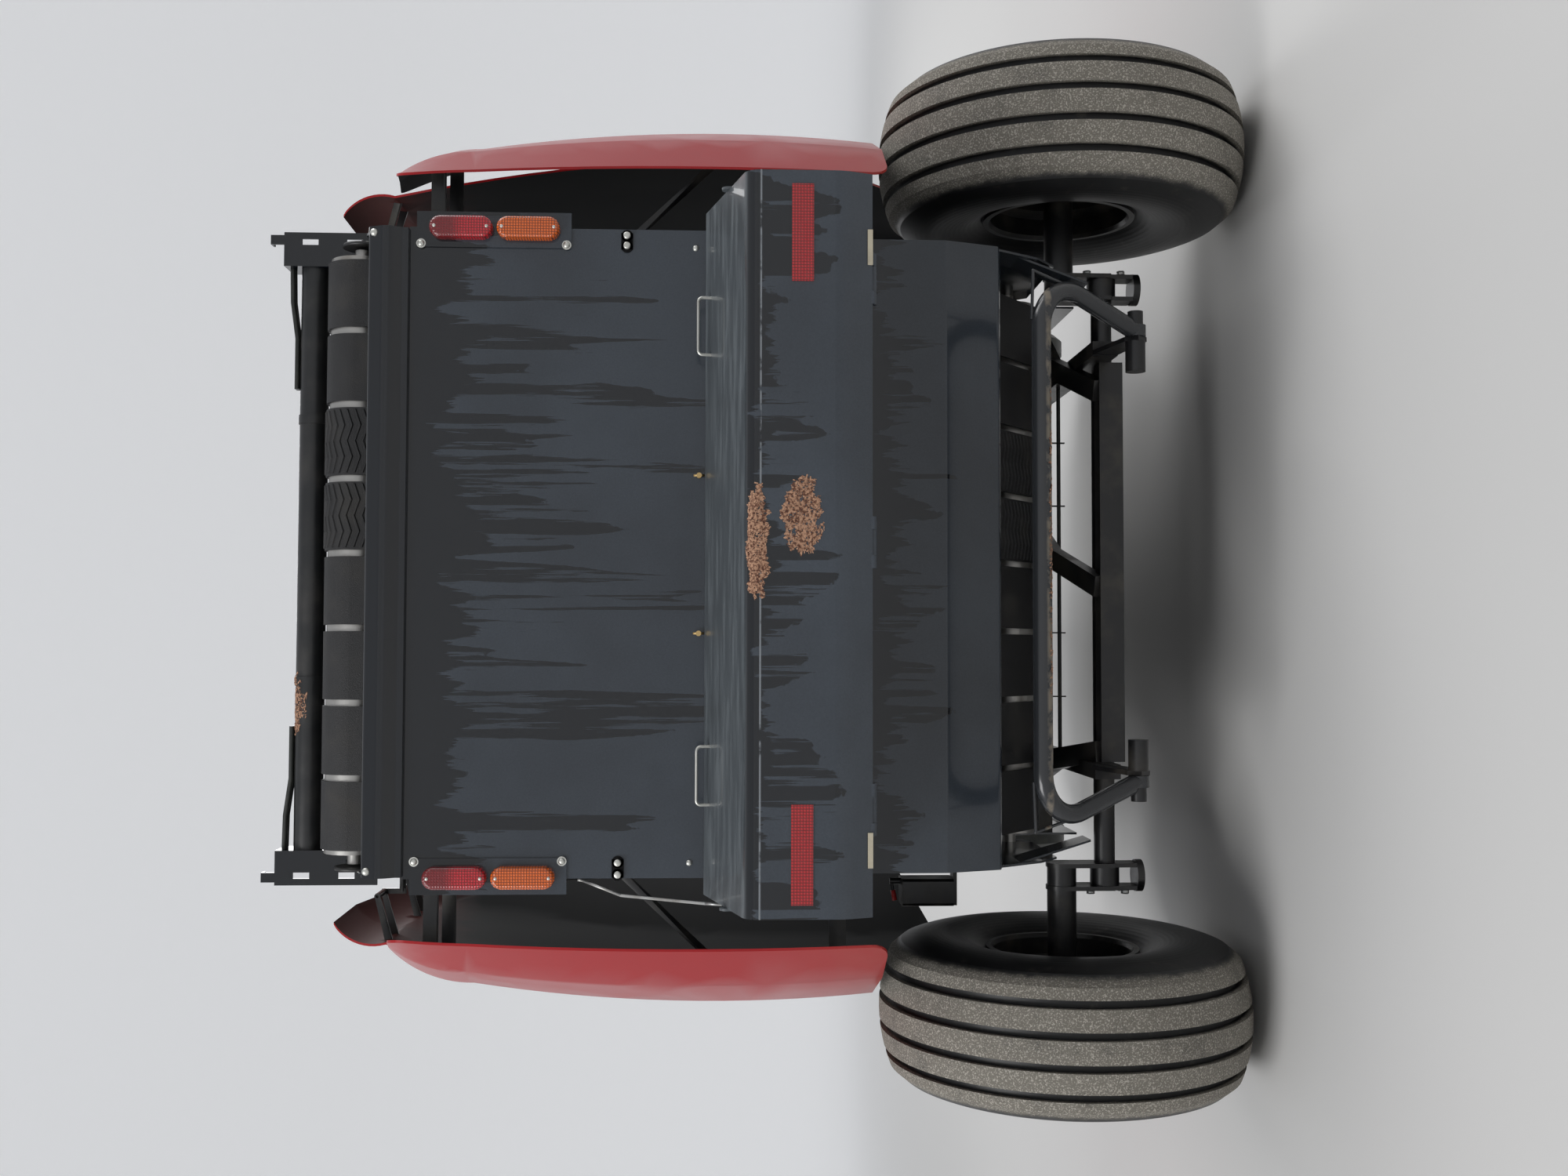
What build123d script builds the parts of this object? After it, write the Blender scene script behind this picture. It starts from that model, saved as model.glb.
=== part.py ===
from build123d import *
import math
import os

os.makedirs("parts", exist_ok=True)

# A belt-type round baler, parked on its wheels and drawbar jack.
# Millimetres. X to the machine's right seen from behind, Y forward, Z up.
# While it is modelled, Y is zero at the axle and X is zero on the chamber's centre plane.

# Belts and chamber
belt_count = 8
belt_width = 177.8
belt_pitch = 195.25
belt_thickness = 8
belt_half = ((belt_count - 1) * belt_pitch + belt_width) / 2
belt_edge_gap = 12
roller_half = belt_half + belt_edge_gap
sheet_gap = 17
sheet_thickness = 6
frame_sheet_x = roller_half + sheet_gap
frame_sheet_out = frame_sheet_x + sheet_thickness
gate_side_gap = 8
gate_sheet_x = frame_sheet_out + gate_side_gap
gate_sheet_out = gate_sheet_x + sheet_thickness
journal_radius = 20

# Wheels
tyre_radius = 530
tyre_width = 418
tread_half = 160
crown_radius = 430
shoulder_reach = 28
shoulder_drop = 34
bead_half = 165
bead_height = 18
rim_radius = 204.5
groove_places = (-119, -41, 41, 119)
groove_width = 22
groove_depth = 24
half_track = 1235
wheel_mid_x = -44
seat_gap = 0.3
hub_radius = 62
hub_half = 75
disc_thickness = 10
disc_offset = 45
stud_circle = 102
stud_count = 8
stud_radius = 9
spindle_radius = 32
bearing_gap = 0.05

# Axle
axle_z = tyre_radius
axle_tube_z = 404
axle_tube_radius = 30
clamp_inner = 820
clamp_gap = 53
clamp_thickness = 12
clamp_radius = 46
pad_radius = 46
pad_thickness = 20
pad_z = 297

# Base frame
rail_x = 560
rail_width = 40
rail_z = axle_tube_z + axle_tube_radius
rail_height = 70
rail_rear_y = -300
rail_front_y = 1240
cross_tube = 60
cross_rear_y = 235
cross_front_y = 1150
bay_brace_width = 60
bay_brace_height = 30
bay_brace_line = (
    # y, z of the middle line
    (-190, 462),
    (40, 533),
    (240, 533),
)
bay_braces = (
    # x at each of those three places
    (-533, -568, -618),
    (-70, 20, 100),
    (482, 585, 716),
)
clip_rod_y = 232
clip_rod_z = 480
clip_rod_radius = 6
clip_height = 44
clip_drop = 18
clip_thickness = 4
clip_count = 5
rear_beam_y = -205
rear_beam_depth = 60
rear_beam_height = 66

# Tailgate hinge
hinge_y = 300
hinge_z = 2470
hinge_pin_radius = 25
ear_radius = 62
hinge_pin_length = 34

# Chamber side sheets, outline in Y and Z
frame_bottom_z = 440
frame_rear_y = 190
frame_rear_top_y = 238
frame_front_y = 1600
frame_throat_y = 1540
frame_throat_z = 880
frame_shoulder_z = 1720
frame_top_z = 2540
frame_sheet_corners = (
    # y, z, corner radius
    (frame_rear_y, frame_bottom_z, 0),
    (frame_throat_y - 30, frame_bottom_z, 30),
    (frame_throat_y, frame_bottom_z + 90, 60),
    (frame_throat_y, frame_throat_z, 20),
    (frame_front_y, frame_throat_z + 15, 10),
    (frame_front_y, frame_shoulder_z, 300),
    (1490, 2170, 300),
    (1330, 2450, 200),
    (1130, frame_top_z, 100),
    (frame_rear_top_y, frame_top_z, 40),
)

# Tailgate, outline in Y and Z
gate_rear_y = -532
rear_sheet_bottom_z = 1565
rear_sheet_top_z = 2320
rear_sheet_return = 26
lower_panel_y = -480
lower_panel_top_z = 1178
lower_crease_z = 936
lower_lip_y = -425
lower_lip_z = 787
gate_bottom_z = 600
gate_front_y = 175
gate_top_z = 2440
gate_sheet_rear = gate_rear_y + sheet_thickness
lower_sheet_rear = lower_panel_y + sheet_thickness

# Tailgate posts and top tube
post_x = roller_half + 5
post_out = 882
post_thickness = 6
post_rear_y = -262
post_depth = 97
post_height = 272
hook_width = 26
hook_rise = 36
top_tube_y = -213
top_tube_z = 2637
top_tube_radius = 38
hose_radius = 7
hose_spacing = 17

# Rollers, places in Y and Z
gate_rollers = (
    # name, y, z, radius
    ("top", -325, 2485, 80),
    ("rear", -385, 1010, 50),
    ("lower", 100, 665, 80),
)
frame_rollers = (
    # name, y, z, radius
    ("top", 1230, 2390, 62),
    ("front", 1470, 1500, 60),
    ("lower", 1330, 880, 60),
    ("floor", 480, 590, 75),
)

# Net wrap box
box_overhang = 34.7
box_half = gate_sheet_out + box_overhang
box_corner_radius = 46
box_top_z = 1553
box_rear_y = -905
box_edge_z = 1456
box_face_z = 1240
box_lip_y = -880
box_lip_z = 1178
cover_thickness = 5
cover_gap = 3
cover_half = box_half + 10
cover_top_y = -548
cover_face_y = box_rear_y - 11
cover_lower_bend = 110
cover_upper_bend = 36
cover_ear_y = -750
cover_ear_z = 1508
cover_ear_radius = 17
ear_thickness = 6
cover_hinge_radius = 9
cover_pin_radius = 4
knuckle_width = 60
knuckle_places = (-620, 0, 620)
running_gap = 0.5

# Lamps and reflectors
lamp_x = 822
lamp_width = 57
lamp_height = 160
lamp_depth = 30
lamp_edge_radius = 11
red_lamp_z = 2187
amber_lamp_z = 2017
lamp_plate_in = 775
lamp_plate_out = 866
lamp_plate_top = 2301
lamp_plate_bottom = 1909
reflector_inset = 137
reflector_x = box_half - reflector_inset
reflector_z = 1337
reflector_width = 228.6
reflector_height = 50.8
reflector_thickness = 3
handle_x = 564
handle_width = 145
handle_wire = 4
handle_rise = 34

# Kicker bar
kicker_pivot_y = -480
kicker_pivot_z = 435
kicker_foot_x = 590
kicker_top_x = 695
kicker_top_y = -680
kicker_top_z = 728
kicker_radius = 24
kicker_bend = 105
kicker_wire_radius = 4
kicker_wire = (
    # x, y and z from the bow's sharp corner
    (-120, 0, 24),
    (3, 0, 20),
    (-18, 41, -60),
)
kicker_pin_radius = 12
kicker_eye_radius = 27
kicker_eye_width = 30

# Lift cylinders
lift_x = 880
lift_base_y = 350
lift_base_z = 900
lift_top_y = -50
lift_top_z = 2300
barrel_radius = 36
rod_radius = 19
barrel_end_gap = 210
lift_pin_radius = 15
lift_eye_radius = 30
lift_eye_width = 40
lift_neck_radius = 18
rod_start = 720

# Front crossbeam, drawbar and hitch
crossbeam_y = 1480
crossbeam_z = 900
crossbeam_size = 120
tongue_width = 110
tongue_height = 120
tongue_line = (
    # y, z of the underside
    (1600, 900),
    (2450, 820),
    (3350, 410),
)
brace_size = 80
brace_foot_x = 560
brace_head_y = 2380
hitch_y = 3520
hitch_z = 470
hitch_hole_radius = 16.5
hitch_ear = 25
hitch_gap = 62
hitch_width = 100
hitch_nose = 50

# Gearbox and driveline
gearbox_y = 1700
gearbox_width = 220
gearbox_depth = 200
gearbox_height = 230
drive_z = 1130
drive_tube_radius = 45
drive_hanger_x = 760
input_shaft_radius = 17.5
drive_y = 1660
joint_y = 1930
cross_radius = 11
shaft_slope = math.radians(12)
guard_radius = 40
guard_wall = 4
inner_guard_radius = 32
shaft_rear_length = 820
shaft_front_length = 900
shaft_overlap = 340
shaft_bore = 17.5
cradle_distance = 1100
cradle_depth = 24
cradle_half = 38
cradle_wall = 12
cradle_rise = 50

# Chain oiler
oiler_y = 240
oiler_z = 798
oiler_depth = 60
oiler_overhang = 20
oiler_shelf = 12
oiler_out = 1027
oiler_width = 82
oiler_height = 157
oiler_edge = 10
oiler_valve = 34
oiler_valve_inset = 12
oiler_lever_x = 1011
oiler_lever_radius = 5

# Left-hand drive
chain_x = frame_sheet_out + 12
chain_width = 16
chain_height = 14
chain_lift = 4
sprocket_width = 8
drive_sprockets = (
    # name, y, z, pitch radius, teeth
    ("driver", drive_y, drive_z, 70, 15),
    ("lower", 1330, 880, 80, 17),
    ("floor", 480, 590, 90, 19),
)
front_sprockets = (
    ("driver", drive_y, drive_z, 52, 11),
    ("front", 1470, 1500, 90, 19),
)

# Pickup
rotor_y = 1400
rotor_z = 640
rotor_tube_radius = 62
rotor_tip_radius = 150
rotor_tine_count = 14
pickup_plate_x = 886
pickup_plate_thickness = 6
reel_y = 1880
reel_z = 470
reel_bar_radius = 130
reel_tip_radius = 255
reel_shaft_radius = 22
reel_bars = 4
tine_pitch = 66
tine_count = 26
tine_width = 6
band_radius = 190
band_width = 48
band_thickness = 3
band_rear_y = 1600
band_beam = 50
guard_pivot_y = 1500
guard_pivot_z = 830
guard_roller_y = 2080
guard_roller_z = 715
guard_roller_radius = 35
guard_arm_thickness = 8
guard_arm_height = 44
guard_boss_radius = 26
guard_pin_radius = 10
guard_bar_radius = 14
guard_bar_share = 0.55
guard_finger_count = 16
guard_finger_width = 7
guard_finger_inset = 52
guard_finger_reach = 240
guard_finger_drop = 20
gauge_x = 985
gauge_y = 1780
gauge_z = 320
gauge_radius = 200
gauge_width = 100
gauge_axle_radius = 14

# Jack
jack_x = -140
jack_y = 2700
jack_pivot_z = 640
jack_tube = 56
jack_wall = 5
jack_gap = 0.5
jack_low = 330
jack_high = 1000
foot_size = 150
foot_thickness = 12
leg_top = 640

# Side shields: sections of the skin's outer face in X and Z, one at each Y place
shield_thickness = 7
rear_shield_sections = (
    # y, top, upper, shoulder, middle, low, each x and z
    (-390, (1008, 2388), (1016, 2300), (1022, 2180), (1040, 1640), (1030, 1075)),
    (-250, (1050, 2410), (1090, 2340), (1116, 2200), (1158, 1640), (1140, 1080)),
    (-60, (1092, 2445), (1152, 2360), (1186, 2210), (1240, 1640), (1222, 1088)),
    (190, (1115, 2490), (1176, 2390), (1212, 2230), (1272, 1640), (1254, 1092)),
)
rear_shield_corners = (
    # y, z, corner radius
    (-390, 1075, 45),
    (190, 1092, 40),
    (190, 2490, 100),
    (-390, 2388, 60),
)
front_shield_sections = (
    # y, top, upper, shoulder, middle, low, each x and z
    (235, (1074, 2676), (1112, 2640), (1134, 2520), (1262, 1640), (1254, 760)),
    (560, (1074, 2684), (1114, 2646), (1138, 2520), (1268, 1640), (1260, 760)),
    (1000, (1074, 2600), (1114, 2560), (1140, 2440), (1262, 1600), (1254, 760)),
    (1690, (1010, 2190), (1046, 2150), (1066, 2040), (1130, 1500), (1110, 820)),
)
front_shield_corners = (
    # y, z, corner radius
    (225, 740, 0),
    (1000, 740, 0),
    (1688, 800, 120),
    (1688, 2210, 200),
    (1000, 2620, 0),
    (560, 2710, 0),
    (232, 2696, 50),
)
shield_near_x = 900
shield_far_x = 1400
shield_hinge_x = 1000
shield_hinge_z = 2560
shield_hinge_radius = 9
shield_pin_radius = 5
shield_arm_thickness = 8
shield_arm_fall = 130
shield_arm_height = 40
wheel_arch_radius = 700
bracket_thickness = 6
rear_brackets = (
    # y, z at the side sheet, z at shield_far_x, height
    (-300, 2270, 2270, 40),
    (-300, 1800, 1184, 30),
    (100, 2290, 2290, 40),
    (100, 1150, 1150, 50),
)


def yz_plate(corners, x_from, x_to):
    """A flat plate from an outline in Y and Z, between two X places."""
    points = [(c[0], c[1]) for c in corners]
    face = Plane.YZ.offset(x_from) * make_face(Polyline(*points, close=True))
    return extrude(face, amount=x_to - x_from)


def rounded_plate(corners, x_from, x_to):
    """As yz_plate, with each corner rounded by its own radius."""
    plate = yz_plate(corners, x_from, x_to)
    for y, z, radius in corners:
        if radius > 0:
            edges = plate.edges().filter_by(Axis.X)
            corner = [e for e in edges if abs(e.center().Y - y) < 1 and abs(e.center().Z - z) < 1]
            plate = fillet(corner, radius)
    return plate


def x_rod(y, z, radius, x_from, x_to):
    """A round bar along X."""
    place = Plane(origin=(x_from, y, z), x_dir=(0, 1, 0), z_dir=(1, 0, 0))
    return extrude(place * Circle(radius), amount=x_to - x_from)


def x_box(y, z, depth, height, x_from, x_to):
    """A box from its low Y and Z, between two X places."""
    size = (abs(x_to - x_from), depth, height)
    centre = ((x_from + x_to) / 2, y + depth / 2, z + height / 2)
    return Pos(*centre) * Box(*size)


def rod_between(start, end, radius):
    """A round bar between two points."""
    line = Vector(*end) - Vector(*start)
    return extrude(Plane(origin=start, z_dir=line) * Circle(radius), amount=line.length)


def beam_between(start, end, width, height):
    """A box beam between two points, its width kept level."""
    line = Vector(*end) - Vector(*start)
    side = Vector(0, 0, 1).cross(line)
    place = Plane(origin=start, x_dir=side, z_dir=line)
    return extrude(place * Rectangle(width, height), amount=line.length)


def bent_outline(points, thickness):
    """Closed outline of a sheet bent along points, thickened to their left."""
    normals = []
    for (y0, z0), (y1, z1) in zip(points, points[1:]):
        length = math.hypot(y1 - y0, z1 - z0)
        normals.append((-(z1 - z0) / length, (y1 - y0) / length))
    offset = []
    for index, (y, z) in enumerate(points):
        before = normals[max(index - 1, 0)]
        after = normals[min(index, len(normals) - 1)]
        scale = thickness / (1 + before[0] * after[0] + before[1] * after[1])
        offset.append((y + (before[0] + after[0]) * scale, z + (before[1] + after[1]) * scale))
    return list(points) + offset[::-1]


def bent_sheet(points, thickness, x_from, x_to, bends=()):
    """A folded sheet that runs along X, with the inner radius of each fold in turn."""
    outline = bent_outline(points, thickness)
    sheet = yz_plate(outline, x_from, x_to)
    for index, radius in enumerate(bends, start=1):
        before, here, after = points[index - 1], points[index], points[index + 1]
        turn = (here[0] - before[0]) * (after[1] - here[1]) - (here[1] - before[1]) * (after[0] - here[0])
        far = outline[-1 - index]
        inner, outer = (far, here) if turn > 0 else (here, far)
        for corner, size in ((inner, radius), (outer, radius + thickness)):
            edges = sheet.edges().filter_by(Axis.X)
            fold = [e for e in edges if math.hypot(e.center().Y - corner[0], e.center().Z - corner[1]) < 0.5]
            sheet = fillet(fold, size)
    return sheet


def belt_edges(rollers, start, end, offset):
    """Tangent lines and arcs round rollers, each (y, z, radius), offset outwards."""
    circles = [(start[0], start[1], 0)] + list(rollers) + [(end[0], end[1], 0)]
    normals = []
    for (y0, z0, r0), (y1, z1, r1) in zip(circles, circles[1:]):
        distance = math.hypot(y1 - y0, z1 - z0)
        along = ((y1 - y0) / distance, (z1 - z0) / distance)
        lean = (r0 - r1) / distance
        out = math.sqrt(1 - lean * lean)
        normals.append((along[0] * lean + along[1] * out, along[1] * lean - along[0] * out))
    edges = []
    last = None
    for index, (y, z, radius) in enumerate(circles):
        reach = radius + offset
        if index > 0:
            before = normals[index - 1]
            arrive = (y + before[0] * reach, z + before[1] * reach)
            edges.append(Line(last, arrive))
            last = arrive
        if index < len(circles) - 1:
            after = normals[index]
            leave = (y + after[0] * reach, z + after[1] * reach)
            if 0 < index:
                middle = (before[0] + after[0], before[1] + after[1])
                size = math.hypot(*middle)
                top = (y + middle[0] / size * reach, z + middle[1] / size * reach)
                edges.append(ThreePointArc(last, top, leave))
            last = leave
    return edges


def belt_strip(rollers, start, end, thickness):
    """The face of a belt that runs round rollers, from start to end."""
    inner = belt_edges(rollers, start, end, 0)
    outer = belt_edges(rollers, start, end, thickness)
    caps = [Line(inner[0] @ 0, outer[0] @ 0), Line(inner[-1] @ 1, outer[-1] @ 1)]
    return make_face(inner + outer + caps)


def belt_set(rollers, start, end):
    """All belts, side by side across the chamber."""
    strip = belt_strip(rollers, start, end, belt_thickness)
    belts = []
    for index in range(belt_count):
        left = -belt_half + index * belt_pitch
        belts.append(extrude(Plane.YZ.offset(left) * strip, amount=belt_width))
    return Compound(children=belts)


def loop_ring(sprockets, height, x_from, x_to):
    """A closed chain round two or three sprockets, each (y, z, pitch radius)."""
    outer = hull_face(sprockets, chain_lift + height)
    inner = hull_face(sprockets, chain_lift)
    return extrude(Plane.YZ.offset(x_from) * (outer - inner), amount=x_to - x_from)


def hull_face(circles, grow):
    """The face inside a band stretched round circles given in clockwise order."""
    edges = []
    count = len(circles)
    normals = []
    for index in range(count):
        y0, z0, r0 = circles[index]
        y1, z1, r1 = circles[(index + 1) % count]
        distance = math.hypot(y1 - y0, z1 - z0)
        along = ((y1 - y0) / distance, (z1 - z0) / distance)
        lean = (r0 - r1) / distance
        out = math.sqrt(1 - lean * lean)
        normals.append((along[0] * lean - along[1] * out, along[1] * lean + along[0] * out))
    for index in range(count):
        y, z, radius = circles[index]
        reach = radius + grow
        before = normals[index - 1]
        after = normals[index]
        start = math.atan2(before[1], before[0])
        sweep_angle = (start - math.atan2(after[1], after[0])) % (2 * math.pi)
        middle = start - sweep_angle / 2
        arrive = (y + before[0] * reach, z + before[1] * reach)
        leave = (y + after[0] * reach, z + after[1] * reach)
        top = (y + math.cos(middle) * reach, z + math.sin(middle) * reach)
        edges.append(ThreePointArc(arrive, top, leave))
        y1, z1, r1 = circles[(index + 1) % count]
        reach_next = r1 + grow
        edges.append(Line(leave, (y1 + after[0] * reach_next, z1 + after[1] * reach_next)))
    return make_face(edges)


def both_sides(shape):
    """A shape and its mirror image across the centre plane."""
    return Compound(children=[shape, mirror(shape, about=Plane.YZ)])


def group(*shapes):
    """Separate solids that share a node."""
    return Compound(children=list(shapes))


parts = {}

# Wheels: a ribbed implement tyre on a dished rim, each with its hub


def crown(x):
    """Radius of the tread's crowned face at a distance x from the tyre's middle."""
    return tyre_radius - crown_radius + math.sqrt(crown_radius ** 2 - x ** 2)


def tyre():
    half = tyre_width / 2
    bulge = (rim_radius + tyre_radius) / 2
    bead = rim_radius + bead_height
    edge = (tread_half, crown(tread_half))
    shoulder = (tread_half + shoulder_reach, edge[1] - shoulder_drop)
    right = [
        Line((0, rim_radius), (bead_half, rim_radius)),
        Line((bead_half, rim_radius), (bead_half, bead)),
        ThreePointArc((bead_half, bead), (half, bulge), shoulder),
        Line(shoulder, edge),
        ThreePointArc(edge, (tread_half / 2, crown(tread_half / 2)), (0, tyre_radius)),
        Line((0, tyre_radius), (0, rim_radius)),
    ]
    profile = make_face(right)
    for place in groove_places:
        if place > 0:
            height = 2 * groove_depth
            profile -= Pos(place, crown(place)) * Rectangle(groove_width, height)
    profile += mirror(profile, about=Plane.YZ)
    return revolve(profile, axis=Axis.X)


def rim(outward):
    """Rim, disc, hub and studs, with outward as 1 or -1 along X."""
    seat = rim_radius - seat_gap
    well = seat - 26
    flange = rim_radius + bead_height - 3
    wall = 6
    edge = bead_half + seat_gap
    barrel = [
        (-edge - 9, flange), (-edge, flange), (-edge, seat), (-110, seat), (-90, well), (60, well),
        (85, seat), (edge, seat), (edge, flange), (edge + 9, flange), (edge + 9, flange - 16),
        (edge - 3, seat - wall), (88, seat - wall), (63, well - wall), (-93, well - wall),
        (-113, seat - wall), (-edge + 3, seat - wall), (-edge - 9, flange - 16),
    ]
    shape = revolve(make_face(Polyline(*barrel, close=True)), axis=Axis.X)
    dish = [
        (disc_offset, hub_radius - 4), (disc_offset, 150), (disc_offset - 25, well - wall + 1),
        (disc_offset - 25 - disc_thickness, well - wall + 1), (disc_offset - disc_thickness, 150),
        (disc_offset - disc_thickness, hub_radius - 4),
    ]
    shape += revolve(make_face(Polyline(*dish, close=True)), axis=Axis.X)
    hub = [
        (-hub_half, spindle_radius + bearing_gap), (-hub_half, hub_radius - 12), (0, hub_radius - 12),
        (0, hub_radius + 65), (disc_offset - disc_thickness, hub_radius + 65),
        (disc_offset - disc_thickness, hub_radius), (disc_offset + 22, hub_radius),
        (disc_offset + 62, 40), (disc_offset + 62, 0), (disc_offset + 50, 0),
        (disc_offset + 50, spindle_radius + bearing_gap),
    ]
    shape += revolve(make_face(Polyline(*hub, close=True)), axis=Axis.X)
    for index in range(stud_count):
        angle = math.radians(index * 360 / stud_count + 22.5)
        y = stud_circle * math.cos(angle)
        z = stud_circle * math.sin(angle)
        shape += x_rod(y, z, stud_radius, disc_offset - 2, disc_offset + 20)
    if outward < 0:
        shape = mirror(shape, about=Plane.YZ)
    return shape


for side, outward in (("left", -1), ("right", 1)):
    centre = Pos(wheel_mid_x + outward * half_track, 0, axle_z)
    parts[f"tyre_{side}"] = centre * tyre()
    parts[f"rim_{side}"] = centre * rim(outward)

# Axle: one tube under the rails, and a pair of clamp plates that carry each spindle


def clamp_plate(x_from):
    middle_z = (axle_tube_z + axle_z) / 2
    plate = x_box(-clamp_radius, axle_tube_z - 20, 2 * clamp_radius, axle_z - axle_tube_z + 20,
                  x_from, x_from + clamp_thickness)
    plate += x_rod(0, axle_z, clamp_radius, x_from, x_from + clamp_thickness)
    plate += x_box(-clamp_radius + 12, pad_z + pad_thickness, 2 * clamp_radius - 24, middle_z - pad_z,
                   x_from, x_from + clamp_thickness)
    return plate


def axle_end():
    plates = clamp_plate(clamp_inner) + clamp_plate(clamp_inner + clamp_thickness + clamp_gap)
    pad_x = clamp_inner + clamp_thickness + clamp_gap / 2
    pad = Pos(pad_x, 0, pad_z + pad_thickness / 2) * Cylinder(pad_radius, pad_thickness)
    boss = x_rod(0, axle_tube_z, axle_tube_radius + 12, clamp_inner, clamp_inner + clamp_gap + 12)
    spindle_end = half_track + disc_offset + 40
    spindle = x_rod(0, axle_z, spindle_radius, clamp_inner, spindle_end)
    collar_end = half_track - hub_half - running_gap
    collar = x_rod(0, axle_z, spindle_radius + 10, clamp_inner, collar_end)
    return plates + pad + boss + spindle + collar


end = axle_end()
reach = clamp_inner + clamp_gap + 2 * clamp_thickness
axle = x_rod(0, axle_tube_z, axle_tube_radius, -reach, reach) + end + mirror(end, about=Plane.YZ)
parts["axle"] = Pos(wheel_mid_x, 0, 0) * axle

# Base frame: two rails over the axle tube, their cross tubes and the kicker's brackets


def base_frame():
    length = rail_front_y - rail_rear_y
    rail = x_box(rail_rear_y, rail_z, length, rail_height, rail_x, rail_x + rail_width)
    arm = [
        (rail_rear_y, rail_z), (rail_rear_y + 60, rail_z + rail_height), (rail_rear_y, rail_z + rail_height),
        (kicker_pivot_y, kicker_pivot_z + 30), (kicker_pivot_y - 30, kicker_pivot_z),
        (kicker_pivot_y, kicker_pivot_z - 30),
    ]
    inner_face = kicker_foot_x - kicker_eye_width / 2 - running_gap
    bracket = yz_plate(arm, inner_face - 12, inner_face)
    pin = x_rod(kicker_pivot_y, kicker_pivot_z, kicker_pin_radius, inner_face - 12, kicker_foot_x + 40)
    end_pin = x_rod(kicker_pivot_y, kicker_pivot_z, kicker_pin_radius + 8,
                    kicker_foot_x + kicker_eye_width / 2 + running_gap, kicker_foot_x + 52)
    spring = x_rod(kicker_pivot_y + 2, kicker_pivot_z, 26, inner_face - 92, inner_face - 12)
    half = rail + bracket + pin + end_pin + spring
    frame = half + mirror(half, about=Plane.YZ)
    tube_z = rail_z + rail_height
    for y in (cross_rear_y, cross_front_y):
        frame += x_box(y, tube_z, cross_tube, cross_tube, -frame_sheet_x, frame_sheet_x)
    frame += x_box(rear_beam_y, rail_z - 38, rear_beam_depth, rear_beam_height, -rail_x, rail_x)
    for row in bay_braces:
        stops = [(x, y, z) for x, (y, z) in zip(row, bay_brace_line)]
        for start, stop in zip(stops, stops[1:]):
            frame += beam_between(start, stop, bay_brace_width, bay_brace_height)
    return frame + clip_rod()


def clip_rod():
    """A thin rod between the rails, with a clip behind each gap between belts."""
    rod = x_rod(clip_rod_y, clip_rod_z, clip_rod_radius, -rail_x - 5, rail_x + 5)
    for index in range(clip_count):
        x = (index - (clip_count - 1) / 2) * belt_pitch
        rod += x_box(clip_rod_y - clip_rod_radius, clip_rod_z - clip_drop, 2 * clip_rod_radius, clip_height,
                     x - clip_thickness / 2, x + clip_thickness / 2)
    return rod


parts["base_frame"] = base_frame()

# Chamber side sheets of the fixed front half, with the tailgate's hinge pins and cylinder brackets


def frame_side():
    sheet = rounded_plate(frame_sheet_corners, frame_sheet_x, frame_sheet_out)
    sheet += x_rod(hinge_y, hinge_z, hinge_pin_radius, frame_sheet_x, frame_sheet_out + hinge_pin_length)
    sheet += x_rod(hinge_y, hinge_z, hinge_pin_radius + 12, gate_sheet_out + 2,
                   frame_sheet_out + hinge_pin_length)
    inner = lift_x - lift_eye_width / 2 - running_gap
    sheet += x_rod(lift_base_y, lift_base_z, lift_eye_radius + 8, frame_sheet_x, inner)
    sheet += x_rod(lift_base_y, lift_base_z, lift_pin_radius, frame_sheet_x, lift_x + lift_eye_width / 2 + 8)
    pickup_face = pickup_plate_x
    sheet += x_rod(rotor_y, rotor_z, 44, frame_sheet_x, pickup_face - running_gap)
    sheet += x_rod(rotor_y, rotor_z, 30, frame_sheet_x, pickup_face + pickup_plate_thickness + 8)
    return sheet


parts["chamber_sides"] = both_sides(frame_side())

# Crossbeams between the side sheets


def crossmembers():
    front = x_box(crossbeam_y, crossbeam_z, crossbeam_size, crossbeam_size, -frame_sheet_x, frame_sheet_x)
    top = x_rod(1060, frame_top_z - 33, 28, -frame_sheet_x, frame_sheet_x)
    middle = x_rod(1545, 1330, 38, -frame_sheet_x, frame_sheet_x)
    return group(front, top, middle)


parts["crossmembers"] = crossmembers()

# Front rollers and belts


def roller_bar(y, z, radius, face_x):
    body = x_rod(y, z, radius, -roller_half, roller_half)
    return body + x_rod(y, z, journal_radius, -face_x, face_x)


parts["front_rollers"] = group(*[roller_bar(y, z, r, frame_sheet_x) for name, y, z, r in frame_rollers])
front_chain = [(y, z, r) for name, y, z, r in frame_rollers[:3]]
front_start = (hinge_y - 25, frame_rollers[0][2] + frame_rollers[0][3] + 66)
front_end = (frame_rollers[2][1] - frame_rollers[2][3], frame_rollers[2][2] + 90)


def mirrored_path(rollers, start, end):
    """Turn a path over in Y, so that belts can run round either side."""
    turned = [(-y, z, r) for y, z, r in rollers]
    return belt_set_turned(turned, (-start[0], start[1]), (-end[0], end[1]))


def belt_set_turned(rollers, start, end):
    belts = belt_set(rollers, start, end)
    return mirror(belts, about=Plane.XZ)


parts["front_belts"] = mirrored_path(front_chain, front_start, front_end)

# Front panel, from the crossbeam up to the top roller


def front_panel():
    points = [
        (frame_front_y - 12, crossbeam_z + crossbeam_size + 4), (frame_front_y - 12, frame_shoulder_z - 40),
        (1482, 2150), (1342, 2400),
    ]
    return bent_sheet(points, 4, -frame_sheet_x, frame_sheet_x)


parts["front_panel"] = front_panel()

# Feed rotor behind the pickup, and the floor under it


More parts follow.
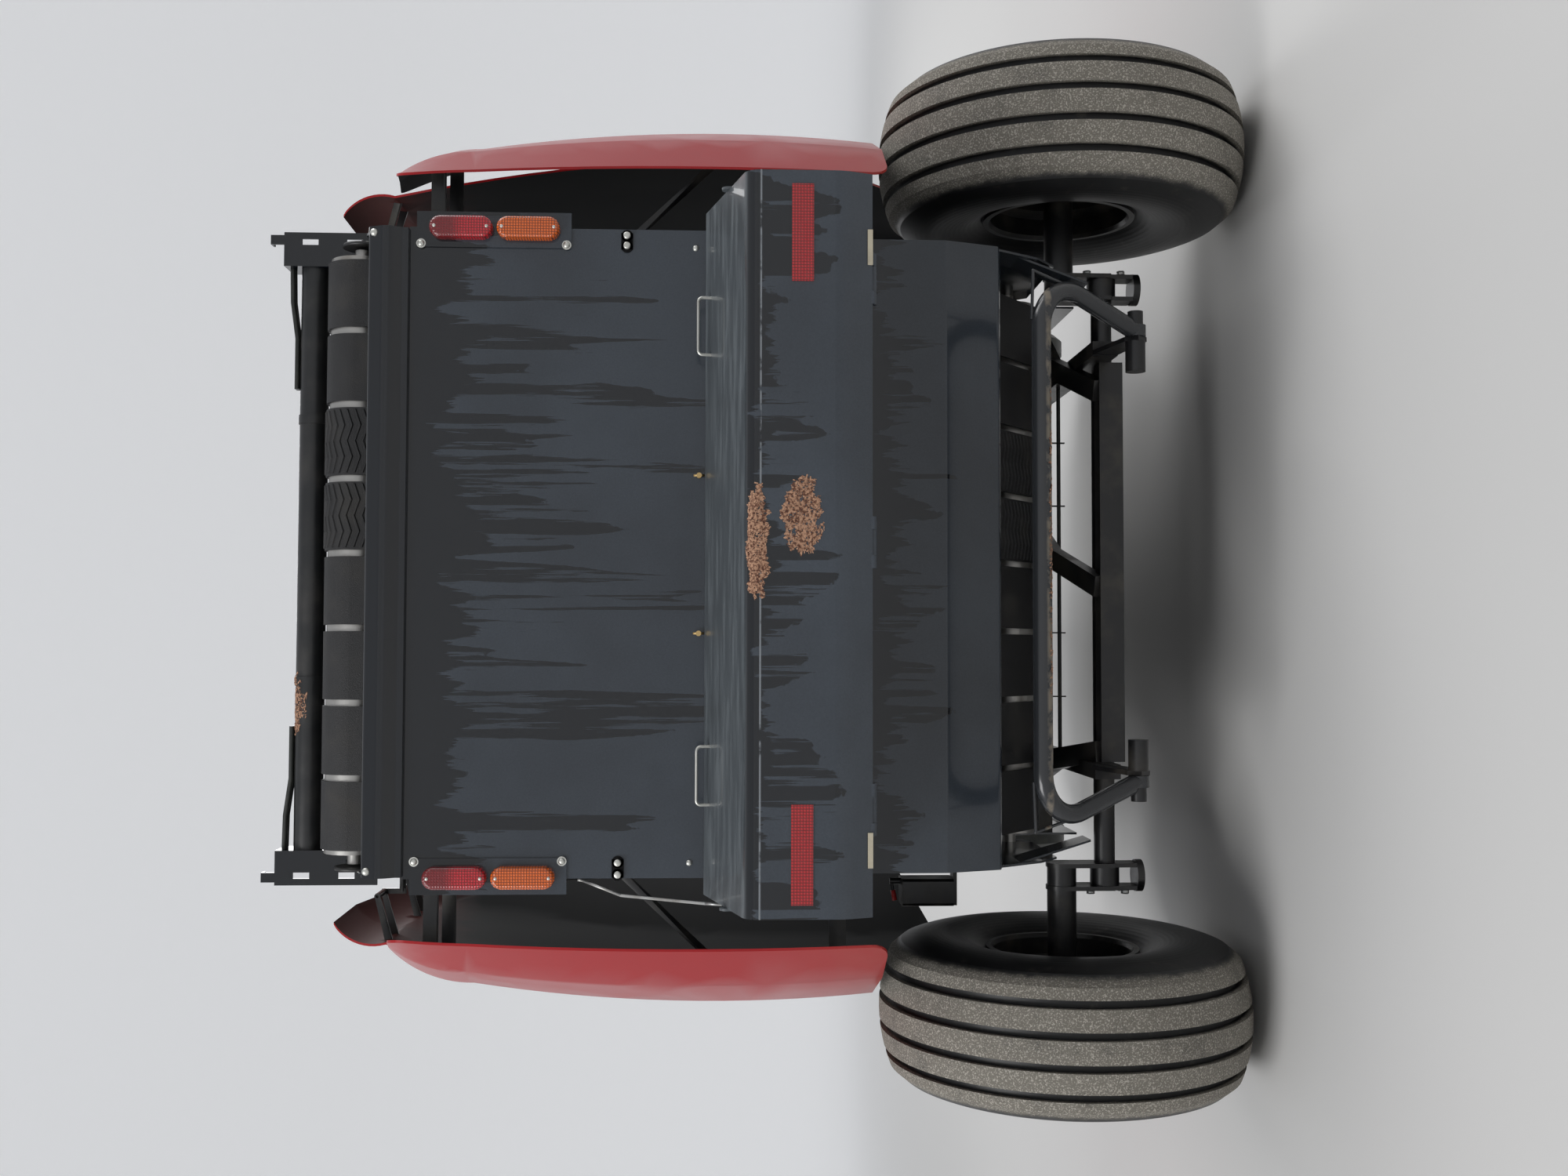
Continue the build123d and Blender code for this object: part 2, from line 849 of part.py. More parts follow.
def feed_floor():
    outer = Circle(rotor_tip_radius + 21)
    inner = Circle(rotor_tip_radius + 15)
    ring = (outer - inner) & Pos(0, -150) * Rectangle(290, 180)
    return extrude(Plane.YZ.offset(-frame_sheet_x) * Pos(rotor_y, rotor_z) * ring, amount=2 * frame_sheet_x)


parts["feed_floor"] = feed_floor()


def feed_rotor():
    rotor = x_rod(rotor_y, rotor_z, rotor_tube_radius, -roller_half, roller_half)
    rotor += x_rod(rotor_y, rotor_z, journal_radius, -frame_sheet_x + running_gap, frame_sheet_x - running_gap)
    step = 2 * (roller_half - 40) / (rotor_tine_count - 1)
    for index in range(rotor_tine_count):
        x = -roller_half + 40 + index * step
        tip = rotor_tip_radius
        star = [(-tip, -8), (-tip, 8), (0, 30), (tip, 8), (tip, -8), (0, -30)]
        face = make_face(Polyline(*star, close=True))
        turn = Rot(0, 0, (index % 4) * 45)
        rotor += extrude(Plane.YZ.offset(x - 5) * Pos(rotor_y, rotor_z) * (turn * face), amount=10)
    return rotor


parts["feed_rotor"] = feed_rotor()

# Tailgate: side sheets with hinge ears, posts and lower wings


def gate_side():
    corners = [
        (gate_sheet_rear, gate_top_z - 25), (gate_sheet_rear, lower_panel_top_z + 6),
        (lower_sheet_rear, lower_panel_top_z + 6), (lower_sheet_rear, lower_crease_z),
        (lower_lip_y + 6, lower_lip_z), (-330, gate_bottom_z + 60), (-250, gate_bottom_z),
        (120, gate_bottom_z), (gate_front_y, gate_bottom_z + 60), (gate_front_y, gate_top_z - 260),
        (hinge_y + 30, hinge_z - ear_radius + 8), (hinge_y, gate_top_z),
        (-480, gate_top_z),
    ]
    sheet = yz_plate(corners, gate_sheet_x, gate_sheet_out)
    sheet += x_rod(hinge_y, hinge_z, ear_radius, gate_sheet_x, gate_sheet_out)
    sheet -= x_rod(hinge_y, hinge_z, hinge_pin_radius + bearing_gap, gate_sheet_x - 1, gate_sheet_out + 1)
    web = x_box(post_rear_y, gate_top_z - 40, post_depth, post_height + 40, post_x, post_x + post_thickness)
    flange = x_box(post_rear_y, gate_top_z, post_thickness, post_height, post_x, post_out)
    foot = x_box(post_rear_y, gate_top_z - 40, post_depth, post_thickness, post_x, gate_sheet_out)
    for row in range(2):
        slot_z = gate_top_z + 60 + row * 120
        flange -= x_box(post_rear_y - 1, slot_z, post_thickness + 2, 44, post_out - 34, post_out - 18)
    hook = x_box(post_rear_y, gate_top_z + post_height, 6, hook_rise, post_out - hook_width - 8, post_out - 8)
    hook += x_box(post_rear_y, gate_top_z + post_height + hook_rise - 5, 30, 5, post_out - hook_width - 8,
                  post_out - 8)
    sheet += web + flange + foot + hook
    boss_end = lift_x - lift_eye_width / 2 - running_gap
    sheet += x_rod(lift_top_y, lift_top_z, lift_pin_radius + 9, gate_sheet_x, boss_end)
    return sheet + lower_wing()


def lower_wing():
    """A strip that leans inwards below the side sheet's rear corner."""
    upper = x_box(-352, gate_bottom_z + 120, 120, 1, gate_sheet_x, gate_sheet_out).faces().sort_by(Axis.Z)[-1]
    lower = x_box(-262, 508, 96, 1, post_x - 22, post_x - 16).faces().sort_by(Axis.Z)[0]
    return loft([upper, lower], ruled=True)


parts["gate_rollers"] = group(*[roller_bar(y, z, r, gate_sheet_x) for name, y, z, r in gate_rollers])
gate_chain = [(y, z, r) for name, y, z, r in gate_rollers]
gate_start = (hinge_y - 35, gate_rollers[0][2] + gate_rollers[0][3] + 6)
gate_end = (gate_rollers[2][1] + gate_rollers[2][3], gate_rollers[2][2] + 80)
parts["gate_belts"] = belt_set([(y, z, r) for y, z, r in gate_chain], gate_start, gate_end)

# Tailgate sheets


def gate_rear_sheet():
    height = rear_sheet_top_z - rear_sheet_bottom_z
    outside = gate_sheet_out + sheet_thickness
    sheet = x_box(gate_rear_y, rear_sheet_bottom_z, sheet_thickness, height, -outside, outside)
    for side in (-1, 1):
        low = min(side * gate_sheet_out, side * outside)
        high = max(side * gate_sheet_out, side * outside)
        sheet += x_box(gate_rear_y, rear_sheet_bottom_z, rear_sheet_return, height, low, high)
    return sheet


def gate_top_rail():
    top = gate_top_z - 25
    points = [
        (gate_sheet_rear + 30, top + 6), (gate_rear_y - 14, top + 6), (gate_rear_y - 36, rear_sheet_top_z + 52),
        (gate_rear_y - 16, rear_sheet_top_z + 16), (gate_rear_y - 16, rear_sheet_top_z),
        (gate_sheet_rear, rear_sheet_top_z),
    ]
    return bent_sheet(points, 5, -gate_sheet_out, gate_sheet_out, (8, 30, 6))


def gate_lower_panel():
    points = [
        (lower_panel_y, lower_panel_top_z), (lower_panel_y, lower_crease_z), (lower_lip_y, lower_lip_z),
        (lower_lip_y + 26, lower_lip_z - 8),
    ]
    return bent_sheet(points, sheet_thickness, -gate_sheet_out - 4, gate_sheet_out + 4, (12, 8))


parts["gate_rear_sheet"] = gate_rear_sheet()
parts["gate_top_rail"] = gate_top_rail()
parts["gate_lower_panel"] = gate_lower_panel()
parts["gate_sides"] = both_sides(gate_side() - parts["gate_top_rail"] - parts["gate_lower_panel"])

# Top tube with its bands, and the hoses that lie on it


def gate_top_tube():
    tube = x_rod(top_tube_y, top_tube_z, top_tube_radius, -post_x, post_x)
    for x in (-337, 375):
        tube += x_rod(top_tube_y, top_tube_z, top_tube_radius + 3, x - 12, x + 12)
    return tube


def tube_hose(side, offset):
    top = top_tube_z + top_tube_radius + hose_radius
    points = [
        (side * (post_x - 0.2), top_tube_y + offset, top + 16),
        (side * (post_x - 90), top_tube_y + offset, top + 14),
        (side * (post_x - 190), top_tube_y + offset, top + seat_gap),
        (side * (post_x - 330), top_tube_y + offset, top + seat_gap),
    ]
    path = FilletPolyline(*points, radius=60)
    return sweep(Plane(path @ 0, z_dir=path % 0) * Circle(hose_radius), path=path)


parts["gate_top_tube"] = gate_top_tube()
hoses = [tube_hose(side, offset) for side in (-1, 1) for offset in (-hose_spacing / 2, hose_spacing / 2)]
parts["gate_hoses"] = group(*hoses)

# Net wrap box, its feed rollers and its cover


def net_box():
    end = [
        # y, z, corner radius
        (gate_rear_y, box_top_z, 0), (-560, box_top_z, 0), (box_rear_y, box_edge_z, box_corner_radius),
        (box_rear_y, box_face_z + 20, 0), (box_lip_y + 14, box_lip_z + 8, 0), (box_lip_y + 14, box_lip_z, 0),
        (gate_rear_y, box_lip_z, 0),
    ]
    right = rounded_plate(end, box_half - 6, box_half)
    shape = right + mirror(right, about=Plane.YZ)
    floor_depth = gate_rear_y - box_lip_y - 14
    shape += x_box(box_lip_y + 14, box_lip_z, floor_depth, 6, -box_half, box_half)
    shape += x_box(gate_rear_y - 6, box_lip_z, 12, 60, -box_half, box_half)
    shape += x_box(gate_rear_y - 6, box_top_z - 40, 12, 40, -box_half, box_half)
    for x in knuckle_places:
        half = knuckle_width / 2
        hinge = x_rod(box_lip_y, box_lip_z - 8, cover_hinge_radius, x - half, x + half)
        hinge += x_box(box_lip_y, box_lip_z - 10, 24, 11, x - half, x + half)
        hinge += x_rod(box_lip_y, box_lip_z - 8, cover_pin_radius, x - 1.8 * half, x + 1.8 * half)
        shape += hinge
    return shape


def net_cover():
    points = [
        (cover_top_y, box_top_z + cover_gap + 4), (cover_face_y, box_edge_z + cover_gap + 2),
        (cover_face_y, box_face_z), (box_lip_y - 10, box_lip_z - 4),
    ]
    shape = bent_sheet(points[::-1], cover_thickness, -cover_half, cover_half,
                       (cover_lower_bend, cover_upper_bend))
    for side in (-1, 1):
        low = min(side * cover_half, side * (cover_half + ear_thickness))
        shape += x_rod(cover_ear_y, cover_ear_z, cover_ear_radius, low, low + ear_thickness)
        shape += x_box(cover_ear_y - cover_ear_radius, cover_ear_z - 2 * cover_ear_radius, 2 * cover_ear_radius,
                       2 * cover_ear_radius, low, low + ear_thickness)
    for x in knuckle_places:
        for side in (-1, 1):
            near = x + side * (knuckle_width / 2 + running_gap)
            far = near + side * knuckle_width / 2
            low, high = min(near, far), max(near, far)
            knuckle = x_rod(box_lip_y, box_lip_z - 8, cover_hinge_radius, low, high)
            knuckle += x_box(box_lip_y - 16, box_lip_z - 10, 14, 12, low, high)
            knuckle -= x_rod(box_lip_y, box_lip_z - 8, cover_pin_radius + bearing_gap, low - 1, high + 1)
            shape += knuckle
    return shape


parts["net_box"] = net_box()
parts["net_cover"] = net_cover()
net_rolls = [(-640, 1240, 22), (-640, 1290, 22)]
parts["net_feed_rollers"] = group(*[x_rod(y, z, r, -box_half + 6, box_half - 6) for y, z, r in net_rolls])

# Wire handles on the cover, and the reflectors on its face


def cover_handle(x):
    base = shelf_height(-600) - 2
    points = [
        (x - handle_width / 2, -600, base), (x - handle_width / 2, -606, base + handle_rise),
        (x + handle_width / 2, -606, base + handle_rise), (x + handle_width / 2, -600, base),
    ]
    path = FilletPolyline(*points, radius=12)
    return sweep(Plane(path @ 0, z_dir=path % 0) * Circle(handle_wire), path=path)


def shelf_height(y):
    """Height of the cover's sloping top surface at y."""
    share = (y - cover_top_y) / (cover_face_y - cover_top_y)
    high = box_top_z + cover_gap + 4 + cover_thickness
    low = box_edge_z + cover_gap + 2 + cover_thickness
    return high + share * (low - high)


parts["cover_handles"] = both_sides(cover_handle(handle_x) - parts["net_cover"])


def reflector(x):
    centre = (x, cover_face_y - cover_thickness - reflector_thickness / 2, reflector_z)
    return Pos(*centre) * Box(reflector_width, reflector_thickness, reflector_height)


parts["reflectors"] = both_sides(reflector(reflector_x))

# Lamps on their plates


def lamp(z):
    face = Plane.XZ * SlotOverall(lamp_height, lamp_width, rotation=90)
    body = extrude(face, amount=lamp_depth)
    front = body.faces().sort_by(Axis.Y)[0]
    body = fillet(front.edges(), lamp_edge_radius)
    return Pos(lamp_x, gate_rear_y - 6, z) * body


lamp_plate = x_box(gate_rear_y - 6, lamp_plate_bottom, 6, lamp_plate_top - lamp_plate_bottom, lamp_plate_in,
                   lamp_plate_out)
parts["lamp_plates"] = both_sides(lamp_plate)
parts["red_lamps"] = both_sides(lamp(red_lamp_z))
parts["amber_lamps"] = both_sides(lamp(amber_lamp_z))

# Kicker bar


def kicker():
    points = [
        (-kicker_foot_x, kicker_pivot_y, kicker_pivot_z), (-kicker_top_x, kicker_top_y, kicker_top_z),
        (kicker_top_x, kicker_top_y, kicker_top_z), (kicker_foot_x, kicker_pivot_y, kicker_pivot_z),
    ]
    path = FilletPolyline(*points, radius=kicker_bend)
    bar = sweep(Plane(path @ 0, z_dir=path % 0) * Circle(kicker_radius), path=path)
    for side in (-1, 1):
        low = side * kicker_foot_x - kicker_eye_width / 2
        high = side * kicker_foot_x + kicker_eye_width / 2
        near = x_rod(kicker_pivot_y, kicker_pivot_z, kicker_eye_radius + 12, low - 40, low)
        far = x_rod(kicker_pivot_y, kicker_pivot_z, kicker_eye_radius + 12, high, high + 40)
        bar = bar - near - far
        bar += x_rod(kicker_pivot_y, kicker_pivot_z, kicker_eye_radius, low, high)
        bar -= x_rod(kicker_pivot_y, kicker_pivot_z, kicker_pin_radius + bearing_gap, low - 1, high + 1)
        wire = [(side * (kicker_top_x + dx), kicker_top_y + dy, kicker_top_z + dz) for dx, dy, dz in kicker_wire]
        bar += rod_between(wire[0], wire[1], kicker_wire_radius)
        bar += rod_between(wire[1], wire[2], kicker_wire_radius)
        bar += Pos(*wire[1]) * Sphere(kicker_wire_radius)
    return bar


parts["kicker_bar"] = kicker()

# Lift cylinders, one outside each side sheet
lift_length = math.hypot(lift_top_y - lift_base_y, lift_top_z - lift_base_z)
lift_along = ((lift_top_y - lift_base_y) / lift_length, (lift_top_z - lift_base_z) / lift_length)


def lift_point(distance, x):
    return (x, lift_base_y + lift_along[0] * distance, lift_base_z + lift_along[1] * distance)


def lift_barrel(side):
    x = side * lift_x
    half = lift_eye_width / 2
    barrel = rod_between(lift_point(40, x), lift_point(lift_length - barrel_end_gap, x), barrel_radius)
    barrel -= rod_between(lift_point(120, x), lift_point(lift_length, x), rod_radius + 0.1)
    barrel += x_rod(lift_base_y, lift_base_z, lift_eye_radius, x - half, x + half)
    barrel += rod_between(lift_point(20, x), lift_point(60, x), lift_neck_radius)
    barrel -= x_rod(lift_base_y, lift_base_z, lift_pin_radius + bearing_gap, x - half - 20, x + half + 20)
    return barrel


def lift_rod(side):
    x = side * lift_x
    half = lift_eye_width / 2
    rod = rod_between(lift_point(lift_length - rod_start, x), lift_point(lift_length - 10, x), rod_radius)
    rod += x_rod(lift_top_y, lift_top_z, lift_eye_radius, x - half, x + half)
    return rod


for side_name, side in (("left", -1), ("right", 1)):
    parts[f"lift_barrel_{side_name}"] = lift_barrel(side)
    parts[f"lift_rod_{side_name}"] = lift_rod(side)

# Drawbar: a cranked box tongue, two braces and the driveline's cradle


def cradle_point():
    y = joint_y + cradle_distance * math.cos(shaft_slope)
    z = drive_z - cradle_distance * math.sin(shaft_slope)
    return y, z


def tongue_top(y):
    (y0, z0), (y1, z1) = tongue_line[1], tongue_line[2]
    return z0 + (z1 - z0) * (y - y0) / (y1 - y0) + tongue_height * math.hypot(y1 - y0, z1 - z0) / (y1 - y0)


def drawbar():
    tongue = bent_sheet(list(tongue_line), tongue_height, -tongue_width / 2, tongue_width / 2)
    plinth_y = crossbeam_y + crossbeam_size
    tongue += x_box(plinth_y, crossbeam_z + 70, gearbox_depth, crossbeam_size - 70, -gearbox_width / 2,
                    gearbox_width / 2)
    for side in (-1, 1):
        foot = (side * brace_foot_x, crossbeam_y + crossbeam_size, crossbeam_z + crossbeam_size / 2)
        head = (side * 40, brace_head_y, tongue_line[1][1] + tongue_height / 2 + 7)
        tongue += beam_between(foot, head, brace_size, brace_size)
    return tongue & Pos(0, 2700, 900) * Box(3000, 2200, 2000)


parts["drawbar"] = drawbar()


def shaft_cradle():
    """A post with a shallow tray that the driveline lies in while it is parked."""
    y, z = cradle_point()
    base = tongue_top(y) - cradle_depth
    rest = z - inner_guard_radius / math.cos(shaft_slope) - cradle_depth / 2 * math.tan(shaft_slope) - seat_gap
    post = x_box(y - cradle_wall / 2, base, cradle_wall, rest - base, -cradle_wall, cradle_wall)
    post += x_box(y - cradle_depth / 2, rest - cradle_wall, cradle_depth, cradle_wall, -cradle_half, cradle_half)
    cheek = x_box(y - cradle_depth / 2, rest - cradle_wall, cradle_depth, cradle_rise, cradle_half,
                  cradle_half + cradle_wall)
    return group(post - parts["drawbar"], cheek, mirror(cheek, about=Plane.YZ))


parts["shaft_cradle"] = shaft_cradle()


def hitch():
    """Forged clevis: two ears with a pin hole, on a block at the tongue's nose."""
    ears = []
    start = tongue_line[2][0] + 10
    for side in (-1, 1):
        z = hitch_z + side * (hitch_gap + hitch_ear) / 2
        length = hitch_y - start
        ear = Pos(0, start + length / 2, z) * Box(hitch_width, length, hitch_ear)
        ear += Pos(0, hitch_y, z) * Cylinder(hitch_nose, hitch_ear)
        ears.append(ear)
    block_height = hitch_gap + 2 * hitch_ear
    block = Pos(0, start + 24, hitch_z) * Box(hitch_width, 48, block_height)
    clevis = ears[0] + ears[1] + block
    clevis += beam_between((0, tongue_line[2][0] - 40, hitch_z + 10), (0, start + 30, hitch_z), 80, 80)
    return clevis - Pos(0, hitch_y, hitch_z) * Cylinder(hitch_hole_radius, 3 * hitch_width)


parts["hitch_clevis"] = hitch() - parts["drawbar"]

# Chain oiler on the left side sheet, with its valve and lever


def oiler():
    inner = -oiler_out + oiler_width
    tank = x_box(oiler_y - oiler_overhang, oiler_z + oiler_shelf, oiler_depth + 2 * oiler_overhang, oiler_height,
                 -oiler_out, inner)
    tank = fillet(tank.edges().filter_by(Axis.Z), oiler_edge)
    shelf = x_box(oiler_y, oiler_z, oiler_depth, oiler_shelf, -oiler_out, -frame_sheet_out)
    middle_y = oiler_y + oiler_depth / 2
    valve_x = inner - oiler_valve_inset
    top = oiler_z + oiler_shelf + oiler_height
    valve = Pos(valve_x, middle_y, top + oiler_valve / 2) * Cylinder(2 * oiler_lever_radius, oiler_valve)
    lever_z = top + oiler_valve - oiler_lever_radius
    lever = rod_between((valve_x, middle_y, lever_z), (-oiler_lever_x, middle_y, lever_z - 2 * oiler_lever_radius),
                        oiler_lever_radius)
    return shelf + tank + valve + lever


parts["oiler"] = oiler()

# Gearbox, cross drive tube and the left-hand chain drives


def gearbox():
    z = crossbeam_z + crossbeam_size
    box = Pos(0, gearbox_y, z + gearbox_height / 2) * Box(gearbox_width, gearbox_depth, gearbox_height)
    box = fillet(box.edges().filter_by(Axis.X), 20)
    front = gearbox_y + gearbox_depth / 2
    box += rod_between((0, front - 5, drive_z), (0, front + 30, drive_z), 60)
    box += rod_between((0, front, drive_z), (0, joint_y - 60, drive_z), input_shaft_radius)
    box += rod_between((0, joint_y - 70, drive_z), (0, joint_y - 40, drive_z), 30)
    for side in (-1, 1):
        box += Pos(0, joint_y - 22, drive_z + side * 25) * Box(24, 60, 8)
    box += x_rod(joint_y, drive_z, cross_radius, -36, 36)
    box += Pos(0, joint_y, drive_z) * Cylinder(cross_radius, 58)
    box += x_rod(drive_y, drive_z, drive_tube_radius, -frame_sheet_out, -gearbox_width / 2 + 5)
    hanger = -drive_hanger_x
    face_y = crossbeam_y + crossbeam_size
    box += x_box(face_y, crossbeam_z + 40, drive_y - face_y + 40, drive_z - crossbeam_z, hanger, hanger + 12)
    return box


parts["gearbox"] = gearbox()


def sprocket(y, z, radius, teeth, x_from):
    disc = x_rod(y, z, radius - 6, x_from, x_from + sprocket_width)
    for index in range(teeth):
        angle = 2 * math.pi * index / teeth
        points = []
        for spread, reach in ((-0.32, radius - 9), (-0.12, radius + 3), (0.12, radius + 3), (0.32, radius - 9)):
            turn = angle + spread * 2 * math.pi / teeth
            points.append((y + reach * math.cos(turn), z + reach * math.sin(turn)))
        disc += yz_plate(points, x_from, x_from + sprocket_width)
    return disc


def left_sprockets():
    """Sprockets on the left ends of the rollers that the belts are driven by."""
    wheels = []
    for row, table in enumerate((drive_sprockets, front_sprockets)):
        for name, y, z, radius, teeth in table:
            x = -(chain_x + row * 24) - sprocket_width
            wheel = sprocket(y, z, radius, teeth, x)
            inner_end = frame_sheet_out if row == 0 or name != "driver" else chain_x + sprocket_width
            wheel += x_rod(y, z, 24, x - 4, -inner_end)
            wheels.append(wheel)
    first = wheels[0] + wheels[3]
    return group(first, wheels[1], wheels[2], wheels[4])


parts["left_sprockets"] = left_sprockets()


def left_chains():
    first = [(y, z, r) for name, y, z, r, teeth in drive_sprockets]
    second = [(y, z, r) for name, y, z, r, teeth in front_sprockets]
    rings = []
    for row, table in enumerate((first, second)):
        middle = -(chain_x + row * 24) - sprocket_width / 2
        rings.append(loop_ring(table, chain_height, middle - chain_width / 2, middle + chain_width / 2))
    return group(*rings)


# Driveline: shaft and guard in two telescoping halves, from the gearbox's joint to the free yoke
shaft_place = Plane(origin=(0, joint_y, drive_z),
                    x_dir=(1, 0, 0),
                    z_dir=(0, math.cos(shaft_slope), -math.sin(shaft_slope)))


def shaft_tube(outer, inner, start, end):
    ring = shaft_place.offset(start) * (Circle(outer) - Circle(inner))
    return extrude(ring, amount=end - start)


def shaft_solid(radius, start, end):
    return extrude(shaft_place.offset(start) * Circle(radius), amount=end - start)


def driveline_rear():
    shaft = shaft_tube(guard_radius, guard_radius - guard_wall, 90, shaft_rear_length)
    shaft += shaft_tube(guard_radius, 20, 90, 110)
    shaft += shaft_solid(26, 40, 110)
    shaft += shaft_tube(56, guard_radius - 2, 60, 100)
    for side in (-1, 1):
        shaft += shaft_place * (Pos(side * 30, 0, 20) * Box(12, 34, 66))
    return shaft - x_rod(joint_y, drive_z, cross_radius + bearing_gap, -60, 60)


def driveline_front():
    start = shaft_rear_length - shaft_overlap
    end = start + shaft_front_length
    shaft = shaft_tube(inner_guard_radius, inner_guard_radius - guard_wall, start, end)
    shaft += shaft_tube(inner_guard_radius, 15 + bearing_gap, end - 30, end)
    shaft += shaft_tube(56, inner_guard_radius - 2, end - 40, end + 10)
    return shaft


def driveline_yoke():
    end = shaft_rear_length - shaft_overlap + shaft_front_length
    yoke_shaft = shaft_solid(15, end - 60, end + 20)
    body = shaft_solid(34, end + 10 + running_gap + 4, end + 60)
    body += shaft_tube(34, shaft_bore, end + 60, end + 150)
    body += shaft_tube(42, 30, end + 110, end + 130)
    return yoke_shaft + body


parts["driveline_rear"] = driveline_rear()
parts["driveline_front"] = driveline_front()
parts["driveline_yoke"] = driveline_yoke()

# Pickup: side plates, stripper bands, tine reel, wind guard and gauge wheels


def pickup_frame():
    outline = [
        (rotor_y - 60, rotor_z - 40), (rotor_y - 60, rotor_z + 50), (guard_pivot_y - 40, guard_pivot_z + 30),
        (guard_pivot_y + 40, guard_pivot_z + 30), (reel_y, reel_z + 215), (reel_y + 190, reel_z + 120),
        (reel_y + 215, reel_z - 40), (reel_y + 120, reel_z - 180), (reel_y - 140, reel_z - 205),
        (band_rear_y - 30, reel_z - 190),
    ]
    plate = yz_plate(outline, pickup_plate_x, pickup_plate_x + pickup_plate_thickness)
    plate -= x_rod(rotor_y, rotor_z, 30 + bearing_gap, pickup_plate_x - 1,
                   pickup_plate_x + pickup_plate_thickness + 1)
    outer = pickup_plate_x + pickup_plate_thickness
    arm_end = gauge_x - gauge_width / 2 - 6
    plate += x_rod(gauge_y, gauge_z, 24, pickup_plate_x, arm_end)
    plate += x_rod(gauge_y, gauge_z, gauge_axle_radius, pickup_plate_x, gauge_x + gauge_width / 2 + 8)
    inner = pickup_plate_x - 2 * guard_arm_thickness - running_gap
    plate += x_rod(guard_pivot_y, guard_pivot_z, guard_pin_radius, inner - 6, outer)
    frame = plate + mirror(plate, about=Plane.YZ)
    seat_z = reel_z + band_radius - band_thickness
    frame += x_box(band_rear_y - band_beam / 2, seat_z - band_beam, band_beam, band_beam, -pickup_plate_x,
                   pickup_plate_x)
    seat_z = reel_z - band_radius + band_thickness
    frame += x_box(band_rear_y - 10, seat_z, 40, 40, -pickup_plate_x, pickup_plate_x)
    return frame


def band_places():
    first = -tine_pitch * tine_count / 2
    return [first + index * tine_pitch for index in range(tine_count + 1)]


def pickup_bands():
    """Stripper bands round the reel's front, with a gap for each tine."""
    outer = band_radius
    inner = band_radius - band_thickness
    rear = band_rear_y + 30
    faces = []
    for radius in (outer, inner):
        edges = [
            Line((rear, reel_z + radius), (reel_y, reel_z + radius)),
            ThreePointArc((reel_y, reel_z + radius), (reel_y + radius, reel_z), (reel_y, reel_z - radius)),
            Line((reel_y, reel_z - radius), (rear, reel_z - radius)),
            Line((rear, reel_z - radius), (rear, reel_z + radius)),
        ]
        faces.append(make_face(edges))
    loop = faces[0] - faces[1]
    bands = []
    for x in band_places():
        bands.append(extrude(Plane.YZ.offset(x - band_width / 2) * loop, amount=band_width))
    return group(*bands)


def pickup_reel():
    inner = pickup_plate_x - running_gap
    reel = x_rod(reel_y, reel_z, reel_shaft_radius, -inner, inner)
    half = tine_pitch * tine_count / 2
    for bar in range(reel_bars):
        angle = math.radians(45 + bar * 360 / reel_bars)
        direction = (math.cos(angle), math.sin(angle))
        y = reel_y + reel_bar_radius * direction[0]
        z = reel_z + reel_bar_radius * direction[1]
        reel += x_rod(y, z, 14, 8 - inner, inner - 8)
        for index in range(tine_count):
            x = -half + (index + 0.5) * tine_pitch
            tip = (x, reel_y + (reel_tip_radius - 1) * direction[0], reel_z + (reel_tip_radius - 1) * direction[1])
            reel += beam_between((x, y, z), tip, tine_width, tine_width)
    for side in (-1, 1):
        x = side * (inner - 14)
        for angle in (45, 135):
            arm = Pos(x, reel_y, reel_z) * (Rot(angle, 0, 0) * Box(8, 2 * reel_bar_radius, 34))
            reel += arm
    return reel


parts["pickup_frame"] = pickup_frame()
parts["pickup_bands"] = pickup_bands()
parts["pickup_reel"] = pickup_reel()


def wind_guard():
    """A roller and a bar of fingers that hang between two arms."""
    arm_x = pickup_plate_x - guard_arm_thickness - running_gap
    inner = arm_x - guard_arm_thickness
    roller = x_rod(guard_roller_y, guard_roller_z, guard_roller_radius, -inner, inner)
    along = (guard_roller_y - guard_pivot_y, guard_roller_z - guard_pivot_z)
    bar_y = guard_pivot_y + along[0] * guard_bar_share
    bar_z = guard_pivot_z + along[1] * guard_bar_share
    bar = x_rod(bar_y, bar_z, guard_bar_radius, -inner, inner)
    middle = arm_x - guard_arm_thickness / 2
    arm = beam_between((middle, guard_pivot_y, guard_pivot_z), (middle, guard_roller_y, guard_roller_z),
                       guard_arm_thickness, guard_arm_height)
    arm += x_rod(guard_pivot_y, guard_pivot_z, guard_boss_radius, inner, arm_x)
    arm += x_rod(guard_roller_y, guard_roller_z, guard_boss_radius, inner, arm_x)
    arm -= x_rod(guard_pivot_y, guard_pivot_z, guard_pin_radius + bearing_gap, inner - 1, arm_x + 1)
    fingers = []
    first = -inner + guard_finger_inset
    step = -2 * first / (guard_finger_count - 1)
    for index in range(guard_finger_count):
        x = first + index * step
        tip = (x, bar_y - guard_finger_reach, bar_z - guard_finger_drop)
        fingers.append(beam_between((x, bar_y, bar_z), tip, guard_finger_width, guard_finger_width) - bar)
    return group(roller, bar, arm, mirror(arm, about=Plane.YZ), *fingers)


parts["wind_guard"] = wind_guard()


